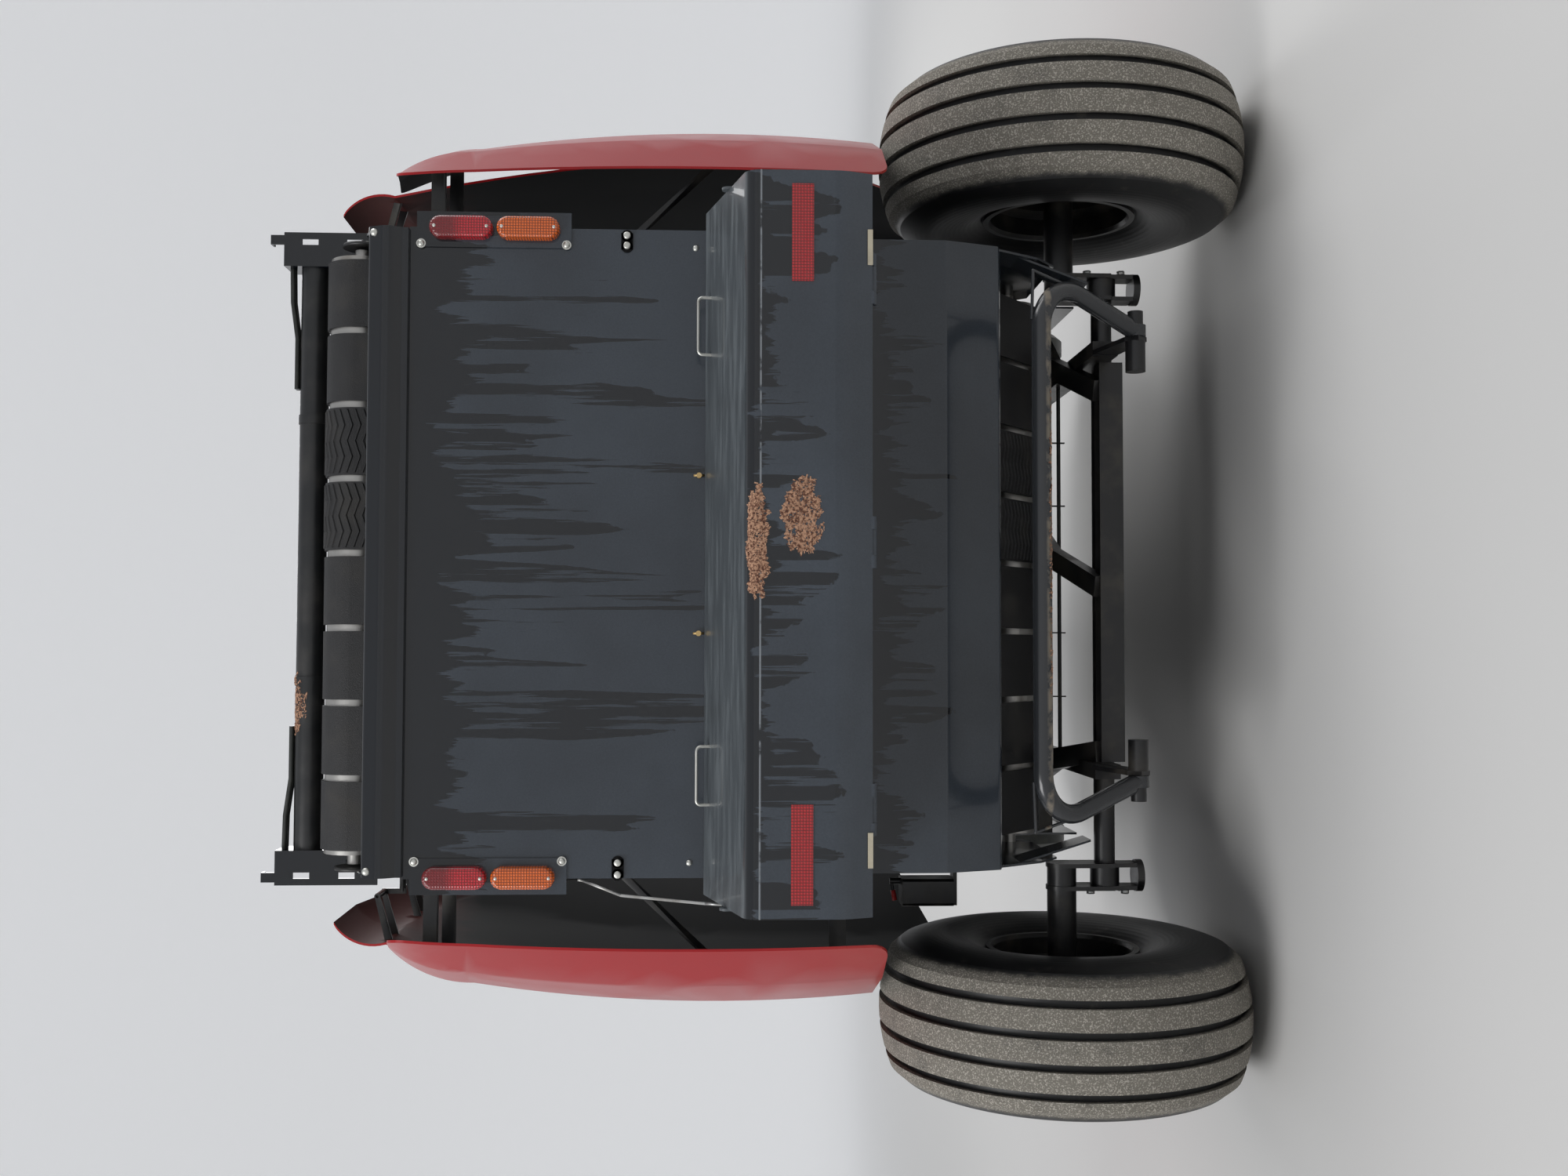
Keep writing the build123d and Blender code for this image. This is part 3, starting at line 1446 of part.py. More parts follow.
def gauge_wheel(side):
    profile = [
        (-gauge_width / 2, gauge_axle_radius + 20), (-gauge_width / 2 + 20, gauge_axle_radius + 20),
        (-gauge_width / 2 + 20, 110), (-gauge_width / 2, 110), (-gauge_width / 2, gauge_radius - 25),
        (-gauge_width / 2 + 22, gauge_radius), (gauge_width / 2 - 22, gauge_radius),
        (gauge_width / 2, gauge_radius - 25), (gauge_width / 2, 110), (gauge_width / 2 - 20, 110),
        (gauge_width / 2 - 20, gauge_axle_radius + 20), (gauge_width / 2, gauge_axle_radius + 20),
        (gauge_width / 2, gauge_axle_radius + bearing_gap), (-gauge_width / 2, gauge_axle_radius + bearing_gap),
    ]
    wheel = revolve(make_face(Polyline(*profile, close=True)), axis=Axis.X)
    return Pos(side * gauge_x, gauge_y, gauge_z) * wheel


for side_name, side in (("left", -1), ("right", 1)):
    parts[f"gauge_wheel_{side_name}"] = gauge_wheel(side)

# Jack: an outer tube that pivots on the tongue, and its leg with the foot


def jack_body():
    height = jack_high - jack_low
    tube = Pos(jack_x, jack_y, jack_low + height / 2) * Box(jack_tube, jack_tube, height)
    inner = jack_tube - 2 * jack_wall
    tube -= Pos(jack_x, jack_y, jack_low + height / 2 - jack_wall) * Box(inner, inner, height)
    pivot_end = jack_x + jack_tube / 2
    tube += x_rod(jack_y, jack_pivot_z, 45, pivot_end, -tongue_width / 2 - 14 - running_gap)
    tube += Pos(jack_x, jack_y, jack_high + 16) * Cylinder(22, 32)
    tube += x_rod(jack_y, jack_high + 20, 8, jack_x - 142, jack_x)
    tube += Pos(jack_x - 142, jack_y, jack_high + 66) * Cylinder(8, 100)
    return tube


def jack_leg():
    inner = jack_tube - 2 * jack_wall - 2 * jack_gap
    height = leg_top - foot_thickness
    leg = Pos(jack_x, jack_y, foot_thickness + height / 2) * Box(inner, inner, height)
    foot = Pos(jack_x, jack_y, foot_thickness / 2) * Box(foot_size, foot_size, foot_thickness)
    return leg + foot


parts["jack_tube"] = jack_body()
parts["jack_leg"] = jack_leg()
jack_mount = x_rod(jack_y, jack_pivot_z, 45, -tongue_width / 2 - 14, -tongue_width / 2)
jack_mount += x_box(jack_y - 45, jack_pivot_z, 90, 110, -tongue_width / 2 - 14, -tongue_width / 2)
parts["drawbar"] += jack_mount

# Side shields: moulded dishes, narrow at the rear edge and rolled in at the top


def shield_outline(section, inset):
    """Two arcs down the skin, moved inwards along X by the inset."""
    y, top, upper, shoulder, middle, low = section
    top, upper, shoulder, middle, low = [(x - inset, z) for x, z in (top, upper, shoulder, middle, low)]
    return [ThreePointArc(top, upper, shoulder), ThreePointArc(shoulder, middle, low)]


def shield_loft(sections, inner_x):
    """Everything inside the skin's outer face, as far as inner_x."""
    faces = []
    for section in sections:
        top, low = section[1], section[-1]
        outer = shield_outline(section, 0)
        low_in = (inner_x, low[1])
        top_in = (inner_x, top[1])
        closing = [Line(low, low_in), Line(low_in, top_in), Line(top_in, top)]
        place = Plane(origin=(0, section[0], 0), x_dir=(1, 0, 0), z_dir=(0, -1, 0))
        faces.append(place * make_face(outer + closing))
    return ruled_chain(faces)


def ruled_chain(faces):
    lofts = [loft([first, second], ruled=True) for first, second in zip(faces, faces[1:])]
    chain = lofts[0]
    for more in lofts[1:]:
        chain += more
    return chain


def shield_skin(sections):
    faces = []
    for section in sections:
        top, low = section[1], section[-1]
        t = shield_thickness
        ends = [Line(low, (low[0] - t, low[1])), Line((top[0] - t, top[1]), top)]
        place = Plane(origin=(0, section[0], 0), x_dir=(1, 0, 0), z_dir=(0, -1, 0))
        faces.append(place * make_face(shield_outline(section, 0) + shield_outline(section, t) + ends))
    return ruled_chain(faces)


def rear_shield():
    skin = shield_skin(rear_shield_sections)
    skin = skin & rounded_plate(rear_shield_corners, shield_near_x, shield_far_x)
    arms = []
    for y, z_sheet, z_far, height in rear_brackets:
        outline = [
            (gate_sheet_out, z_sheet), (shield_far_x, z_far), (shield_far_x, z_far + height),
            (gate_sheet_out, z_sheet + height),
        ]
        arms.append(xz_plate(outline, y, y + bracket_thickness))
    inside = shield_loft(rear_shield_sections, gate_sheet_out - 1)
    for arm in arms:
        skin += arm & inside
    return skin


def xz_plate(outline, y_from, y_to):
    """A flat plate from an outline in X and Z, between two Y places."""
    place = Plane(origin=(0, y_to, 0), x_dir=(1, 0, 0), z_dir=(0, -1, 0))
    return extrude(place * make_face(Polyline(*outline, close=True)), amount=y_to - y_from)


def hinge_length(y_from, y_to, radius):
    start = (shield_hinge_x, y_from, shield_hinge_z)
    return rod_between(start, (shield_hinge_x, y_to, shield_hinge_z), radius)


def front_shield():
    skin = shield_skin(front_shield_sections)
    skin = skin & rounded_plate(front_shield_corners, shield_near_x, shield_far_x)
    skin -= x_rod(0, axle_z, wheel_arch_radius, shield_near_x, shield_far_x)
    inside = shield_loft(front_shield_sections, shield_hinge_x - 20)
    for y_from, y_to in hinge_spans():
        arm_outline = [
            (shield_hinge_x, shield_hinge_z - shield_arm_thickness),
            (shield_far_x, shield_hinge_z - shield_arm_fall),
            (shield_far_x, shield_hinge_z - shield_arm_fall + shield_arm_height),
            (shield_hinge_x, shield_hinge_z + shield_arm_thickness),
        ]
        for y in (y_from, y_to - shield_arm_thickness):
            skin += xz_plate(arm_outline, y, y + shield_arm_thickness) & inside
        skin += hinge_length(y_from, y_to, shield_hinge_radius)
    low_y = front_shield_sections[0][0]
    high_y = front_shield_sections[2][0]
    return skin - hinge_length(low_y, high_y, shield_pin_radius + bearing_gap)


def hinge_spans():
    """The two stretches along Y where a front shield hangs on its hinge."""
    low_y = front_shield_sections[0][0]
    high_y = front_shield_sections[2][0]
    return ((low_y + 60, low_y + 160), (high_y - 260, high_y - 160))


def shield_carriers():
    """Arms from the side sheets that carry the front shields' hinge pins."""
    arms = []
    (near_from, near_to), (far_from, far_to) = hinge_spans()
    for y, pin_to in ((near_to + 10, near_from + 10), (far_from - 10, far_to - 10)):
        arm = x_rod(y, frame_top_z - 35, 10, frame_sheet_out, shield_hinge_x)
        arm += x_box(y - 8, frame_top_z - 45, 16, shield_hinge_z - frame_top_z + 53, shield_hinge_x - 8,
                     shield_hinge_x + 8)
        low, high = min(y, pin_to), max(y, pin_to)
        arm += hinge_length(low, high, shield_pin_radius)
        arms.append(arm)
    return arms


rear = rear_shield()
front = front_shield()
parts["rear_shield_right"] = rear
parts["rear_shield_left"] = mirror(rear, about=Plane.YZ)
parts["front_shield_right"] = front
parts["front_shield_left"] = mirror(front, about=Plane.YZ)
carriers = shield_carriers()
parts["shield_carriers"] = group(*carriers, *[mirror(arm, about=Plane.YZ) for arm in carriers])
parts["left_chains"] = left_chains()

# Row frame: origin on the floor, under the middle of the machine's box
front_end_y = hitch_y + hitch_nose
rear_end_y = cover_face_y - cover_thickness - reflector_thickness
row_shift = Pos(-wheel_mid_x, -(front_end_y + rear_end_y) / 2, 0)

for name, shape in parts.items():
    solids = [row_shift * solid for solid in shape.solids()]
    export_step(solids[0] if len(solids) == 1 else Compound(solids), f"parts/{name}.step")
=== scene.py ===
# %% [markdown]
# # A round baler, dressed in Blender
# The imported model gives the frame: each solid is in its real place, and each body can move. This lesson
# gives those solids their paint, rubber and dust, and adds the small things that a drawing leaves out.

# %% Load the frame
import math

import bmesh
import bpy
from mathutils import Matrix, Vector, noise
from mathutils.bvhtree import BVHTree


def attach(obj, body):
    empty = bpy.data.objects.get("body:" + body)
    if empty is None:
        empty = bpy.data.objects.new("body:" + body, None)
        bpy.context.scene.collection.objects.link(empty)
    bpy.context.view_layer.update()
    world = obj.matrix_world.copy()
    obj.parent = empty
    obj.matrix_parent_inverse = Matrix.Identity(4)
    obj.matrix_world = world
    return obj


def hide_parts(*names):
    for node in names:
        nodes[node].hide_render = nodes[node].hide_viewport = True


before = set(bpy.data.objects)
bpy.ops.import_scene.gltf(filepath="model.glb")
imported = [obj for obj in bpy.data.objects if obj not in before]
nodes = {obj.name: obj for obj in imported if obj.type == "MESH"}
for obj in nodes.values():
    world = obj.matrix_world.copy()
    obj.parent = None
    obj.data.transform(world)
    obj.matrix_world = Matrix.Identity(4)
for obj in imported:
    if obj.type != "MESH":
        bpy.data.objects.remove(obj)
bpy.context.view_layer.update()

# %% [markdown]
# On the machine's drawing every place is in millimetres: across from the body's middle plane, along from the
# axle's line and up from the ground. The frame's own origin is under the middle of the machine's box, so one
# small function turns a drawing place into a frame place. The cells on shapes think in drawing places, and
# the paints in the frame's metres, which is what their nodes read.

# %% Places and sizes shared by several pieces
middle_right_of_wheels = 0.044
axle_behind_middle = 1.323
belt_pitch = 0.19525
belt_width = 0.1778
belt_edge = 0.772275
rear_sheet_y = -532
half_track = 1235
axle_height = 530


def place(x, y, z):
    """A drawing place in millimetres as a frame place in metres."""
    return Vector((x / 1000 + middle_right_of_wheels, y / 1000 - axle_behind_middle, z / 1000))


def add_object(name, data):
    """A new object at the origin, linked to the scene."""
    made = bpy.data.objects.new(name, data)
    bpy.context.scene.collection.objects.link(made)
    return made


def new_piece(name, vertices, faces, material):
    """A mesh object at the origin, with its place in its mesh."""
    mesh = bpy.data.meshes.new(name)
    mesh.from_pydata(vertices, [], faces)
    mesh.update()
    if material:
        mesh.materials.append(material)
    return add_object(name, mesh)


def from_bmesh(name, work):
    """A mesh object made from a bmesh, which is freed."""
    mesh = bpy.data.meshes.new(name)
    work.to_mesh(mesh)
    work.free()
    return add_object(name, mesh)


print("drawing origin is at", tuple(round(v, 3) for v in place(0, 0, 0)))

# %% [markdown]
# Small things are made as a few joined meshes. A `Parcel` collects rods, plates, screw heads and nuts in one
# mesh, all given in drawing places, and turns them into one piece that moves with its body. `bake` turns an
# object that still has a modifier into a plain one. The two need different names while both are there.

# %% A parcel of small shapes
smooth_face = 4e-4


def bake(name, carrier):
    """The evaluated mesh of an object with a modifier, as a plain object."""
    bpy.context.view_layer.update()
    graph = bpy.context.evaluated_depsgraph_get()
    mesh = bpy.data.meshes.new_from_object(carrier.evaluated_get(graph), depsgraph=graph)
    mesh.name = name
    made = add_object(name, mesh)
    bpy.data.objects.remove(carrier, do_unlink=True)
    return made


class Parcel:
    """Many small shapes in one mesh, each added in drawing millimetres."""

    def __init__(self):
        self.mesh = bmesh.new()

    def box(self, low, high):
        middle = place(*[(a + b) / 2 for a, b in zip(low, high)])
        size = [abs(b - a) / 1000 for a, b in zip(low, high)]
        fit = Matrix.Translation(middle) @ Matrix.Diagonal((*size, 1))
        made = bmesh.ops.create_cube(self.mesh, size=1.0)["verts"]
        bmesh.ops.transform(self.mesh, matrix=fit, verts=made)

    def rod(self, start, end, radius, sides=16):
        """A round bar between two drawing places, or a nut where it has 6 sides."""
        first, last = place(*start), place(*end)
        line = last - first
        turn = line.to_track_quat("Z", "Y").to_matrix().to_4x4()
        made = bmesh.ops.create_cone(self.mesh, cap_ends=True, segments=sides, radius1=radius / 1000,
                                     radius2=radius / 1000, depth=line.length)["verts"]
        bmesh.ops.transform(self.mesh, matrix=Matrix.Translation((first + last) / 2) @ turn, verts=made)

    def ball(self, centre, radius, squash, around, rings):
        """A ball, squashed along Y."""
        made = bmesh.ops.create_uvsphere(self.mesh, u_segments=around, v_segments=rings,
                                         radius=radius / 1000)["verts"]
        bmesh.ops.scale(self.mesh, vec=(1, squash, 1), verts=made)
        bmesh.ops.translate(self.mesh, vec=place(*centre), verts=made)

    def wire(self, points, radius):
        """A bent wire, with a ball at each bend."""
        for start, end in zip(points, points[1:]):
            self.rod(start, end, radius, 10)
        for point in points[1:-1]:
            self.ball(point, radius, 1, 10, 6)

    def dome(self, centre, radius, rise):
        """A round screw head that faces the rear."""
        self.ball(centre, radius, rise / radius, 20, 10)

    def piece(self, name, material, body):
        """The finished piece on its body, smooth where its faces are small."""
        made = from_bmesh(name, self.mesh)
        made.data.materials.append(material)
        for polygon in made.data.polygons:
            polygon.use_smooth = len(polygon.vertices) == 4 and polygon.area < smooth_face
        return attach(made, body)


print("parcel ready")

# %% [markdown]
# A finish is a small tree of nodes. The same few steps come back in every tree: a noise that reads the
# piece's own coordinates, a ramp that sharpens it, a mix of two colours and a bump. This helper holds those
# steps, so that each finish below reads as a recipe: what the paint is, what lies on it and how it shines.

# %% A recipe for a finish


class Finish:
    """A material's node tree, built step by step on Object coordinates."""

    def __init__(self, name):
        self.material = bpy.data.materials.new(name)
        self.material.use_nodes = True
        self.tree = self.material.node_tree
        self.tree.nodes.clear()
        self.shader = self.node("ShaderNodeBsdfPrincipled", {})
        self.node("ShaderNodeOutputMaterial", {"Surface": self.shader.outputs["BSDF"]})
        self.where = self.node("ShaderNodeTexCoord", {}).outputs["Object"]

    def node(self, kind, inputs, **settings):
        """A node, with its inputs by name or number and its settings."""
        made = self.tree.nodes.new(kind)
        for key, value in settings.items():
            setattr(made, key, value)
        for key, value in inputs.items():
            self.wire(value, made.inputs[key])
        return made

    def wire(self, value, socket):
        if isinstance(value, bpy.types.NodeSocket):
            self.tree.links.new(value, socket)
        else:
            socket.default_value = value

    def stretched(self, scale):
        """Object coordinates, stretched along each axis."""
        return self.node("ShaderNodeMapping", {"Vector": self.where, "Scale": scale}).outputs["Vector"]

    def noise(self, scale, detail=4.0, vector=None, rough=0.55):
        inputs = {"Vector": vector or self.where, "Scale": scale, "Detail": detail, "Roughness": rough}
        return self.node("ShaderNodeTexNoise", inputs).outputs["Fac"]

    def sharpen(self, value, low, high):
        """Turn the stretch from low to high into 0 to 1."""
        inputs = {"Value": value, "From Min": low, "From Max": high}
        return self.node("ShaderNodeMapRange", inputs, interpolation_type="SMOOTHSTEP").outputs["Result"]

    def maths(self, operation, first, second=0.0):
        return self.node("ShaderNodeMath", {0: first, 1: second}, operation=operation).outputs["Value"]

    def plus(self, first, second):
        return self.maths("ADD", first, second)

    def minus(self, first, second):
        return self.maths("SUBTRACT", first, second)

    def times(self, first, *others):
        for other in others:
            first = self.maths("MULTIPLY", first, other)
        return first

    def span(self, first, second):
        """The distance from an axis, from two distances across it."""
        return self.maths("SQRT", self.plus(self.times(first, first), self.times(second, second)))

    def colour(self, value):
        return value if isinstance(value, bpy.types.NodeSocket) else (*value, 1.0)

    def blend(self, share, first, second):
        """Mix two colours by a share."""
        inputs = {"Factor": share, 6: self.colour(first), 7: self.colour(second)}
        return self.node("ShaderNodeMix", inputs, data_type="RGBA").outputs[2]

    def shade(self, share, first, second):
        """Mix two plain numbers by a share."""
        inputs = {"Factor": share, 2: first, 3: second}
        return self.node("ShaderNodeMix", inputs, data_type="FLOAT").outputs[0]

    def axis(self, letter):
        return self.node("ShaderNodeSeparateXYZ", {"Vector": self.where}).outputs[letter]

    def bump(self, height, strength, distance):
        inputs = {"Height": height, "Strength": strength, "Distance": distance}
        self.wire(self.node("ShaderNodeBump", inputs).outputs["Normal"], self.shader.inputs["Normal"])

    def set(self, colour, roughness, metallic=0.0, coat=0.0, shine=0.5):
        values = {"Base Color": self.colour(colour), "Roughness": roughness, "Metallic": metallic,
                  "Coat Weight": coat, "Specular IOR Level": shine}
        for socket, value in values.items():
            self.wire(value, self.shader.inputs[socket])


# %% [markdown]
# The sheets are black gloss paint that has stood in the rain. Dust dries to a thin grey film and the drops
# that ran down have washed it off in long stripes. Two noises make that: one, stretched upright, says where a
# run is, and a slower one says how far down it came. Under the rail the sheet is still wet, with an edge like
# a saw, from a third noise. On the cover, dust lies above the bend and a painted highlight follows the bend.

# %% Black sheet paint with a dry film and washed runs
wet_black = (0.0035, 0.0050, 0.0076)
dry_film = (0.0480, 0.0610, 0.0790)
# The pale colour of the painted highlight along the cover's bend, where the bend catches the light.
bend_highlight = (0.20, 0.22, 0.24)
shelf_dust = (0.125, 0.142, 0.154)
# Half widths of the painted highlight line along the bend.
bend_highlight_edge = 0.003
bend_highlight_full = 0.001
shelf_edge = 0.028
shelf_full = 0.040


def rain_washed_paint(name, run_top, run_length, film=0.75, teeth=0.5, bend_height=None):
    """Black gloss under a dry film, wet above run_top, with washed runs below it."""
    paint = Finish(name)
    across = paint.noise(1.0, 5.0, paint.stretched((26, 5, 0.9)), 0.62)
    reach = paint.noise(1.0, 2.0, paint.stretched((9, 3, 0.01)))
    height = paint.axis("Z")
    end = paint.times(paint.sharpen(reach, 0.3, 0.72), run_length)
    below_end = paint.minus(paint.plus(height, end), run_top)
    wavering = paint.plus(below_end, paint.times(paint.noise(38, 3.0), 0.08))
    run = paint.times(paint.sharpen(across, 0.49, 0.51), paint.sharpen(wavering, 0.03, 0.04))
    saw = paint.times(paint.noise(1.0, 7.0, paint.stretched((13, 3, 0.4)), 0.7), teeth)
    wet_from = run_top + 0.24 * teeth
    run = paint.maths("MAXIMUM", run, paint.sharpen(paint.plus(height, saw), wet_from, wet_from + 0.004))
    speckle = paint.noise(240, 4.0)
    cloud = paint.noise(2.4, 3.0)
    dry = paint.times(paint.minus(1.0, run), film, paint.shade(paint.sharpen(cloud, 0.3, 0.7), 0.65, 1.0))
    colour = paint.blend(paint.times(dry, paint.shade(speckle, 0.7, 1.2)), wet_black, dry_film)
    gloss = paint.shade(dry, 0.06, 0.30)
    if bend_height:
        # A thin broken pale line along the bend: a painted highlight where the bend catches the light.
        line = paint.times(paint.sharpen(height, bend_height - bend_highlight_edge, bend_height - bend_highlight_full),
                           paint.sharpen(height, bend_height + bend_highlight_edge, bend_height + bend_highlight_full))
        broken = paint.sharpen(paint.noise(22, 5.0), 0.36, 0.5)
        colour = paint.blend(paint.times(line, broken), colour, bend_highlight)
        above = paint.sharpen(height, bend_height + shelf_edge, bend_height + shelf_full)
        scuffs = paint.sharpen(paint.noise(1.0, 6.0, paint.stretched((5, 40, 40))), 0.4, 0.7)
        settled = paint.times(above, paint.shade(scuffs, 0.55, 0.95))
        colour = paint.blend(settled, colour, shelf_dust)
        gloss = paint.shade(settled, gloss, 0.5)
    paint.set(colour, gloss, coat=0.25)
    paint.bump(paint.noise(60, 2.0), 0.03, 0.002)
    return paint.material


rear_sheet_paint = rain_washed_paint("rear_sheet_paint", 2.32, 0.95)
lower_sheet_paint = rain_washed_paint("lower_sheet_paint", 1.2, 0.3)
cover_paint = rain_washed_paint("cover_paint", 1.5, 0.25, film=0.9, teeth=0.3, bend_height=1.434)
side_sheet_paint = rain_washed_paint("side_sheet_paint", 2.4, 0.6, film=0.4)
print("sheet paints made")

# %% [markdown]
# The frame, axle and drawbar are black too, but rougher, with patches of road dust. One recipe with a few
# colours serves them all. The kicker's tube has its own, with a dry dust line and rust spots.

# %% Frame paint, cast metal and the black inner side
lining_black = (0.003, 0.003, 0.0035)
matt_gloss = 0.7
matt_shine = 0.15
dust_line_top = (0.724, 0.716)
dust_line_foot = (0.702, 0.708)


def dusty_paint(name, base, dust, amount, gloss, scale=9.0, shine=0.5):
    """A base colour under patches of dust, with the roughness gloss and the mirroring shine."""
    paint = Finish(name)
    patch = paint.sharpen(paint.noise(scale, 6.0), 0.42, 0.78)
    share = paint.times(patch, amount, paint.shade(paint.noise(420, 3.0), 0.5, 1.4))
    paint.set(paint.blend(share, base, dust), paint.shade(share, gloss, 0.75), shine=shine)
    paint.bump(paint.noise(180, 3.0), 0.08, 0.001)
    return paint.material


frame_paint = dusty_paint("frame_paint", (0.009, 0.009, 0.010), (0.085, 0.075, 0.060), 0.6, 0.3)
cast_paint = dusty_paint("cast_paint", (0.013, 0.013, 0.014), (0.09, 0.08, 0.065), 0.5, 0.42)
liner_paint = dusty_paint("liner_paint", lining_black, (0.016, 0.015, 0.013), 0.6, matt_gloss,
                          shine=matt_shine)
tube_paint = dusty_paint("tube_paint", (0.012, 0.013, 0.014), (0.06, 0.055, 0.05), 0.5, 0.32)
rim_paint = dusty_paint("rim_paint", (0.012, 0.012, 0.012), (0.11, 0.095, 0.075), 0.7, 0.35)


def kicker_paint():
    """Black tube with a dry dust line along its lower side and a few rust spots."""
    paint = Finish("kicker_paint")
    height = paint.axis("Z")
    line = paint.times(paint.sharpen(height, *dust_line_top), paint.sharpen(height, *dust_line_foot))
    dust = paint.times(line, paint.sharpen(paint.noise(30, 5.0), 0.40, 0.62), 0.7)
    dusty = paint.blend(dust, (0.024, 0.026, 0.029), (0.26, 0.22, 0.165))
    spots = paint.sharpen(paint.noise(16, 6.0), 0.70, 0.73)
    paint.set(paint.blend(spots, dusty, (0.13, 0.045, 0.020)), paint.shade(dust, 0.24, 0.8), coat=0.2)
    paint.bump(paint.noise(120, 3.0), 0.1, 0.001)
    return paint.material


kicker_finish = kicker_paint()
print("frame paints made")

# %% [markdown]
# The side shields are the one bright thing on the machine: red gloss plastic. Red gloss needs a clear coat
# over a slightly rough base, and a little road dust low down. The front shields are open at the top, so
# their lining is black with some red-brown where the light gets in.

# %% Red shields and their lining
low_dust = (1.5, 0.95)
lit_lining = (2.45, 2.75)


def shield_red():
    paint = Finish("shield_red")
    dust = paint.times(paint.sharpen(paint.axis("Z"), *low_dust), 0.22, paint.noise(14, 5.0))
    colour = paint.blend(dust, (0.36, 0.005, 0.008), (0.36, 0.20, 0.14))
    paint.set(colour, paint.shade(paint.noise(5, 3.0), 0.24, 0.36), coat=0.15, shine=0.35)
    paint.bump(paint.noise(28, 2.0), 0.03, 0.003)
    return paint.material


def lining():
    """Black inside a front shield, red-brown where light reaches it near the top."""
    paint = Finish("shield_lining")
    top = paint.sharpen(paint.plus(paint.axis("Z"), paint.times(paint.noise(5, 3.0), 0.3)), *lit_lining)
    paint.set(paint.blend(top, lining_black, (0.060, 0.014, 0.012)), matt_gloss, shine=matt_shine)
    paint.bump(paint.noise(28, 2.0), 0.03, 0.003)
    return paint.material


shield_paint = shield_red()
shield_lining = lining()
print("shield paint made")

# %% [markdown]
# A tyre has two looks. Its sidewall is clean black rubber with moulded rings, and its ribs are scuffed grey
# by the yard's gravel. The tree measures how far a point is from the axle's line and compares that with the
# crown's own arc, so the grey stops at the groove walls and runs out over the shoulder by itself.

# %% Tyre rubber
crown_arc = 0.430
crown_top = 0.530
crown_fade = (-0.014, -0.002)
ring_waves = 420.0
ring_band = (0.44, 0.40)


def tyre_rubber():
    rubber = Finish("tyre_rubber")
    along = rubber.plus(rubber.axis("Y"), axle_behind_middle)
    up = rubber.minus(rubber.axis("Z"), axle_height / 1000)
    distance = rubber.span(along, up)
    grit = rubber.noise(420, 5.0)
    patch = rubber.noise(11, 4.0)
    aside = rubber.minus(rubber.maths("ABSOLUTE", rubber.axis("X")), half_track / 1000)
    arc = rubber.maths("SQRT", rubber.minus(crown_arc ** 2, rubber.times(aside, aside)))
    above = rubber.minus(distance, rubber.plus(arc, crown_top - crown_arc))
    crown = rubber.sharpen(rubber.plus(above, rubber.times(rubber.noise(34, 5.0), 0.012)), *crown_fade)
    stones = rubber.sharpen(rubber.noise(230, 4.0), 0.5, 0.64)
    share = rubber.times(crown, rubber.sharpen(rubber.plus(grit, patch), 0.50, 0.95))
    grey = rubber.blend(stones, (0.185, 0.172, 0.146), (0.44, 0.41, 0.36))
    wall_dust = rubber.times(rubber.sharpen(rubber.noise(26, 5.0), 0.56, 0.8), 0.35)
    wall = rubber.blend(wall_dust, (0.010, 0.010, 0.0105), (0.10, 0.09, 0.075))
    rubber.set(rubber.blend(share, wall, grey), rubber.shade(share, 0.42, 0.9))
    rings = rubber.maths("SINE", rubber.times(distance, ring_waves))
    on_wall = rubber.times(rings, rubber.sharpen(distance, *ring_band), 0.2)
    rubber.bump(rubber.plus(on_wall, rubber.times(grit, crown, 1.6)), 0.35, 0.0015)
    return rubber.material


tyre_finish = tyre_rubber()
print("tyre rubber made")

# %% [markdown]
# Belts are black rubber on woven cords. Six of them have a fine rough face and two carry a moulded zigzag,
# which gets its own ridges further on. Rollers show as worn steel in the gaps between the belts.

# %% Belts, rollers and bright metal


def belt_rubber():
    rubber = Finish("belt_finish")
    weave = rubber.noise(300, 2.0, rubber.stretched((1.0, 2.2, 2.2)))
    worn = rubber.sharpen(rubber.noise(7, 5.0), 0.45, 0.85)
    colour = rubber.blend(worn, (0.011, 0.011, 0.012), (0.045, 0.042, 0.038))
    rubber.set(colour, rubber.shade(worn, 0.55, 0.8))
    rubber.bump(weave, 0.7, 0.002)
    return rubber.material


def bare_metal(name, light, dark, gloss, metallic=1.0, grain=(60, 60, 60)):
    metal = Finish(name)
    streak = metal.noise(1.0, 4.0, metal.stretched(grain))
    stain = metal.sharpen(metal.noise(13, 5.0), 0.5, 0.8)
    colour = metal.blend(metal.times(stain, 0.8), light, dark)
    metal.set(colour, metal.shade(streak, gloss, gloss + 0.2), metallic)
    metal.bump(streak, 0.12, 0.0008)
    return metal.material


belt_finish = belt_rubber()
roller_steel = bare_metal("roller_steel", (0.44, 0.43, 0.41), (0.20, 0.17, 0.13), 0.28, 0.9, (8, 160, 160))
bright_steel = bare_metal("bright_steel", (0.46, 0.46, 0.45), (0.22, 0.20, 0.17), 0.32, 0.9)
zinc_plate = bare_metal("zinc_plate", (0.60, 0.60, 0.56), (0.40, 0.38, 0.32), 0.3, 0.9)
chrome_rod = bare_metal("chrome_rod", (0.72, 0.72, 0.73), (0.6, 0.6, 0.6), 0.06)
brass_pin = bare_metal("brass_pin", (0.62, 0.44, 0.20), (0.40, 0.27, 0.12), 0.3)
galvanised = bare_metal("galvanised", (0.50, 0.51, 0.50), (0.33, 0.32, 0.30), 0.35, 0.85)
print("metals made")

# %% [markdown]
# Lamps are ribbed gloss plastic, the hoses satin rubber and the shaft's guard a matte black plastic. The
# ribs on a lens are a fine square grid: the higher of a sine along X and a sine along Z. The upper part of a
# red lens is smooth and dark.

# %% Lenses, hoses and plastic
lens_ribs = 900.0
red_lens_split = 2.195
split_fade = 0.02


